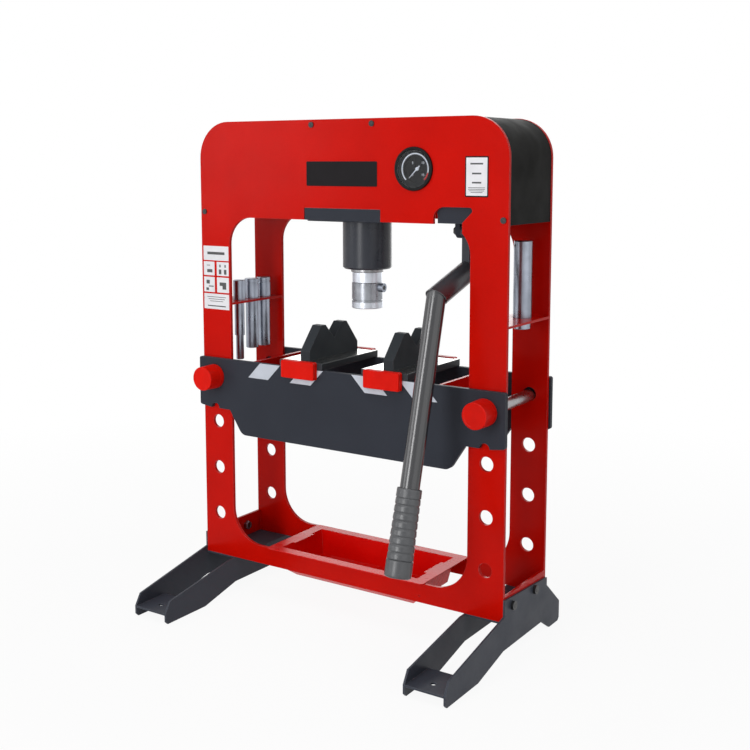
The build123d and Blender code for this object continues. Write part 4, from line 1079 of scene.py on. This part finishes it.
class PRESS_OT_stage(bpy.types.Operator):
    """Sets up the pale floor, the soft lamps and the camera"""

    bl_idname = "press.stage"
    bl_label = "Stage"

    def execute(self, context):
        scene = context.scene
        sizes = scene.press_stage
        self.light_world(scene, sizes)
        self.lay_floor(scene, sizes)
        target = Vector((0.0, 0.0, 0.45))
        # name, place, width, height and power
        lamps = (("left softbox", (-2.42, -2.42, 1.2), 1.2, 1.4, sizes.key_power),
                 ("front strip", (-0.1, -2.3, 0.95), 0.60, 1.5, sizes.strip_power),
                 ("right softbox", (3.2, -0.9, 1.2), 3.2, 3.0, sizes.fill_power),
                 ("rear softbox", (-0.9, 2.8, 1.1), 2.4, 2.0, sizes.rear_power),
                 ("top softbox", (0.2, -0.8, 2.9), 2.4, 2.0, sizes.top_power))
        for name, place, wide, tall, power in lamps:
            lamp = bpy.data.lights.new(name, "AREA")
            lamp.shape, lamp.size, lamp.size_y, lamp.energy = "RECTANGLE", wide, tall, power
            made = bpy.data.objects.new(name, lamp)
            made.location = place
            made.rotation_euler = (target - Vector(place)).to_track_quat("-Z", "Y").to_euler()
            scene.collection.objects.link(made)
        self.set_camera(scene, sizes)
        scene.view_settings.view_transform = "Standard"
        return {"FINISHED"}

    def seen(self, tree):
        """1 for a camera, glossy or transmission ray, which show the background as white."""
        path = tree.nodes.new("ShaderNodeLightPath")
        first = tree.nodes.new("ShaderNodeMath")
        second = tree.nodes.new("ShaderNodeMath")
        first.operation = second.operation = "MAXIMUM"
        tree.links.new(path.outputs["Is Camera Ray"], first.inputs[0])
        tree.links.new(path.outputs["Is Glossy Ray"], first.inputs[1])
        tree.links.new(first.outputs[0], second.inputs[0])
        tree.links.new(path.outputs["Is Transmission Ray"], second.inputs[1])
        return second.outputs[0]

    def light_world(self, scene, sizes):
        """White behind the press, and an even light of the ambient strength on it."""
        world = bpy.data.worlds.new("soft studio")
        scene.world = world
        world.use_nodes = True
        tree = world.node_tree
        tree.nodes.clear()
        strength = tree.nodes.new("ShaderNodeMapRange")
        tree.links.new(self.seen(tree), strength.inputs["Value"])
        strength.inputs["To Min"].default_value = sizes.ambient
        strength.inputs["To Max"].default_value = 1.0
        background = tree.nodes.new("ShaderNodeBackground")
        background.inputs["Color"].default_value = (1, 1, 1, 1)
        tree.links.new(strength.outputs["Result"], background.inputs["Strength"])
        tree.links.new(background.outputs[0], tree.nodes.new("ShaderNodeOutputWorld").inputs[0])

    def lay_floor(self, scene, sizes):
        """A round floor: point (i, j) = radius[i] * (cos(angle[j]), sin(angle[j])), level."""
        finish = Finish("pale floor")
        reach = finish.add("ShaderNodeVectorMath", {0: finish.place}, operation="LENGTH")
        far = finish.spread(reach.outputs["Value"], 0.6, 1.8, 1.0 - sizes.shadow_share, 1.0)
        share = finish.maths("MULTIPLY", far, self.seen(finish.tree))
        tone = finish.blend(finish.spread(finish.noise(1.5, 2.0), 0.3, 0.7, 0.0, 1.0),
                            (0.86, 0.86, 0.86), (0.88, 0.88, 0.88))
        matt = finish.add("ShaderNodeBsdfDiffuse", {"Color": tone})
        white = finish.add("ShaderNodeEmission", {"Strength": 1.0})
        finish.end(finish.add("ShaderNodeMixShader", {0: share, 1: matt.outputs[0],
                                                      2: white.outputs[0]}))
        radius = np.array([0.0, 0.6, 1.5, 4.0, sizes.floor_radius])[:, None]
        angle = np.linspace(0, 2 * np.pi, 65)[None]
        level = np.full((5, 65), -0.3 * MM)
        grid = np.stack([radius * np.cos(angle), radius * np.sin(angle), level], -1)
        points, quads, triangles = welded(grid.reshape(-1, 3), faces_of(grid)[:, ::-1])
        mesh = bpy.data.meshes.new("floor")
        mesh.from_pydata(points.tolist(), [], quads.tolist() + triangles.tolist())
        mesh.materials.append(finish.material)
        floor = bpy.data.objects.new("floor", mesh)
        scene.collection.objects.link(floor)

    def set_camera(self, scene, sizes):
        """The photograph's view, solved from the frame's straight edges."""
        data = bpy.data.cameras.new("camera")
        data.sensor_width, data.lens = 36.0, sizes.lens
        data.shift_y = CAMERA_SHIFT
        yaw, pitch = math.radians(CAMERA_YAW), math.radians(CAMERA_PITCH)
        camera = bpy.data.objects.new("camera", data)
        camera.location = CAMERA_PLACE
        camera.rotation_euler = (math.pi / 2 - pitch, 0.0, yaw)
        data.clip_start, data.clip_end = 0.01, 100.0
        scene.collection.objects.link(camera)
        scene.camera = camera


class PRESS_PT_panel(bpy.types.Panel):
    """Lists the settings and the pieces"""

    bl_idname = "PRESS_PT_panel"
    bl_label = "Hydraulic press"
    bl_space_type = "VIEW_3D"
    bl_region_type = "UI"
    bl_category = "Press"

    def draw(self, context):
        layout = self.layout
        for group in SETTINGS:
            settings = getattr(context.scene, group)
            box = layout.box()
            for name in settings.bl_rna.properties.keys():
                if name not in ("name", "rna_type"):
                    box.prop(settings, name)
        for operator in OPERATORS:
            layout.operator(operator.bl_idname)


SETTINGS = {
    "press_colours": PressColours,
    "press_gauge": PressGauge,
    "press_plates": PressPlates,
    "press_handles": PressHandles,
    "press_fixings": PressFixings,
    "press_stage": PressStage,
}
OPERATORS = (PRESS_OT_finishes, PRESS_OT_gauge, PRESS_OT_plates, PRESS_OT_lever_grip,
             PRESS_OT_knobs, PRESS_OT_block_grips, PRESS_OT_welds, PRESS_OT_fixings,
             PRESS_OT_stage)


def register():
    """Registers the settings, the operators and the panel."""
    for made in (*SETTINGS.values(), *OPERATORS, PRESS_PT_panel):
        bpy.utils.register_class(made)
    for name, group in SETTINGS.items():
        setattr(bpy.types.Scene, name, PointerProperty(type=group))


def unregister():
    """Takes them away again."""
    for name in SETTINGS:
        delattr(bpy.types.Scene, name)
    for made in (PRESS_PT_panel, *reversed(OPERATORS), *reversed(SETTINGS.values())):
        bpy.utils.unregister_class(made)


def main():
    """Makes every piece in order."""
    register()
    bpy.ops.press.finishes()
    bpy.ops.press.gauge()
    bpy.ops.press.plates()
    bpy.ops.press.lever_grip()
    bpy.ops.press.knobs()
    bpy.ops.press.block_grips()
    bpy.ops.press.welds()
    bpy.ops.press.fixings()
    bpy.ops.press.stage()


if __name__ == "__main__":
    main()
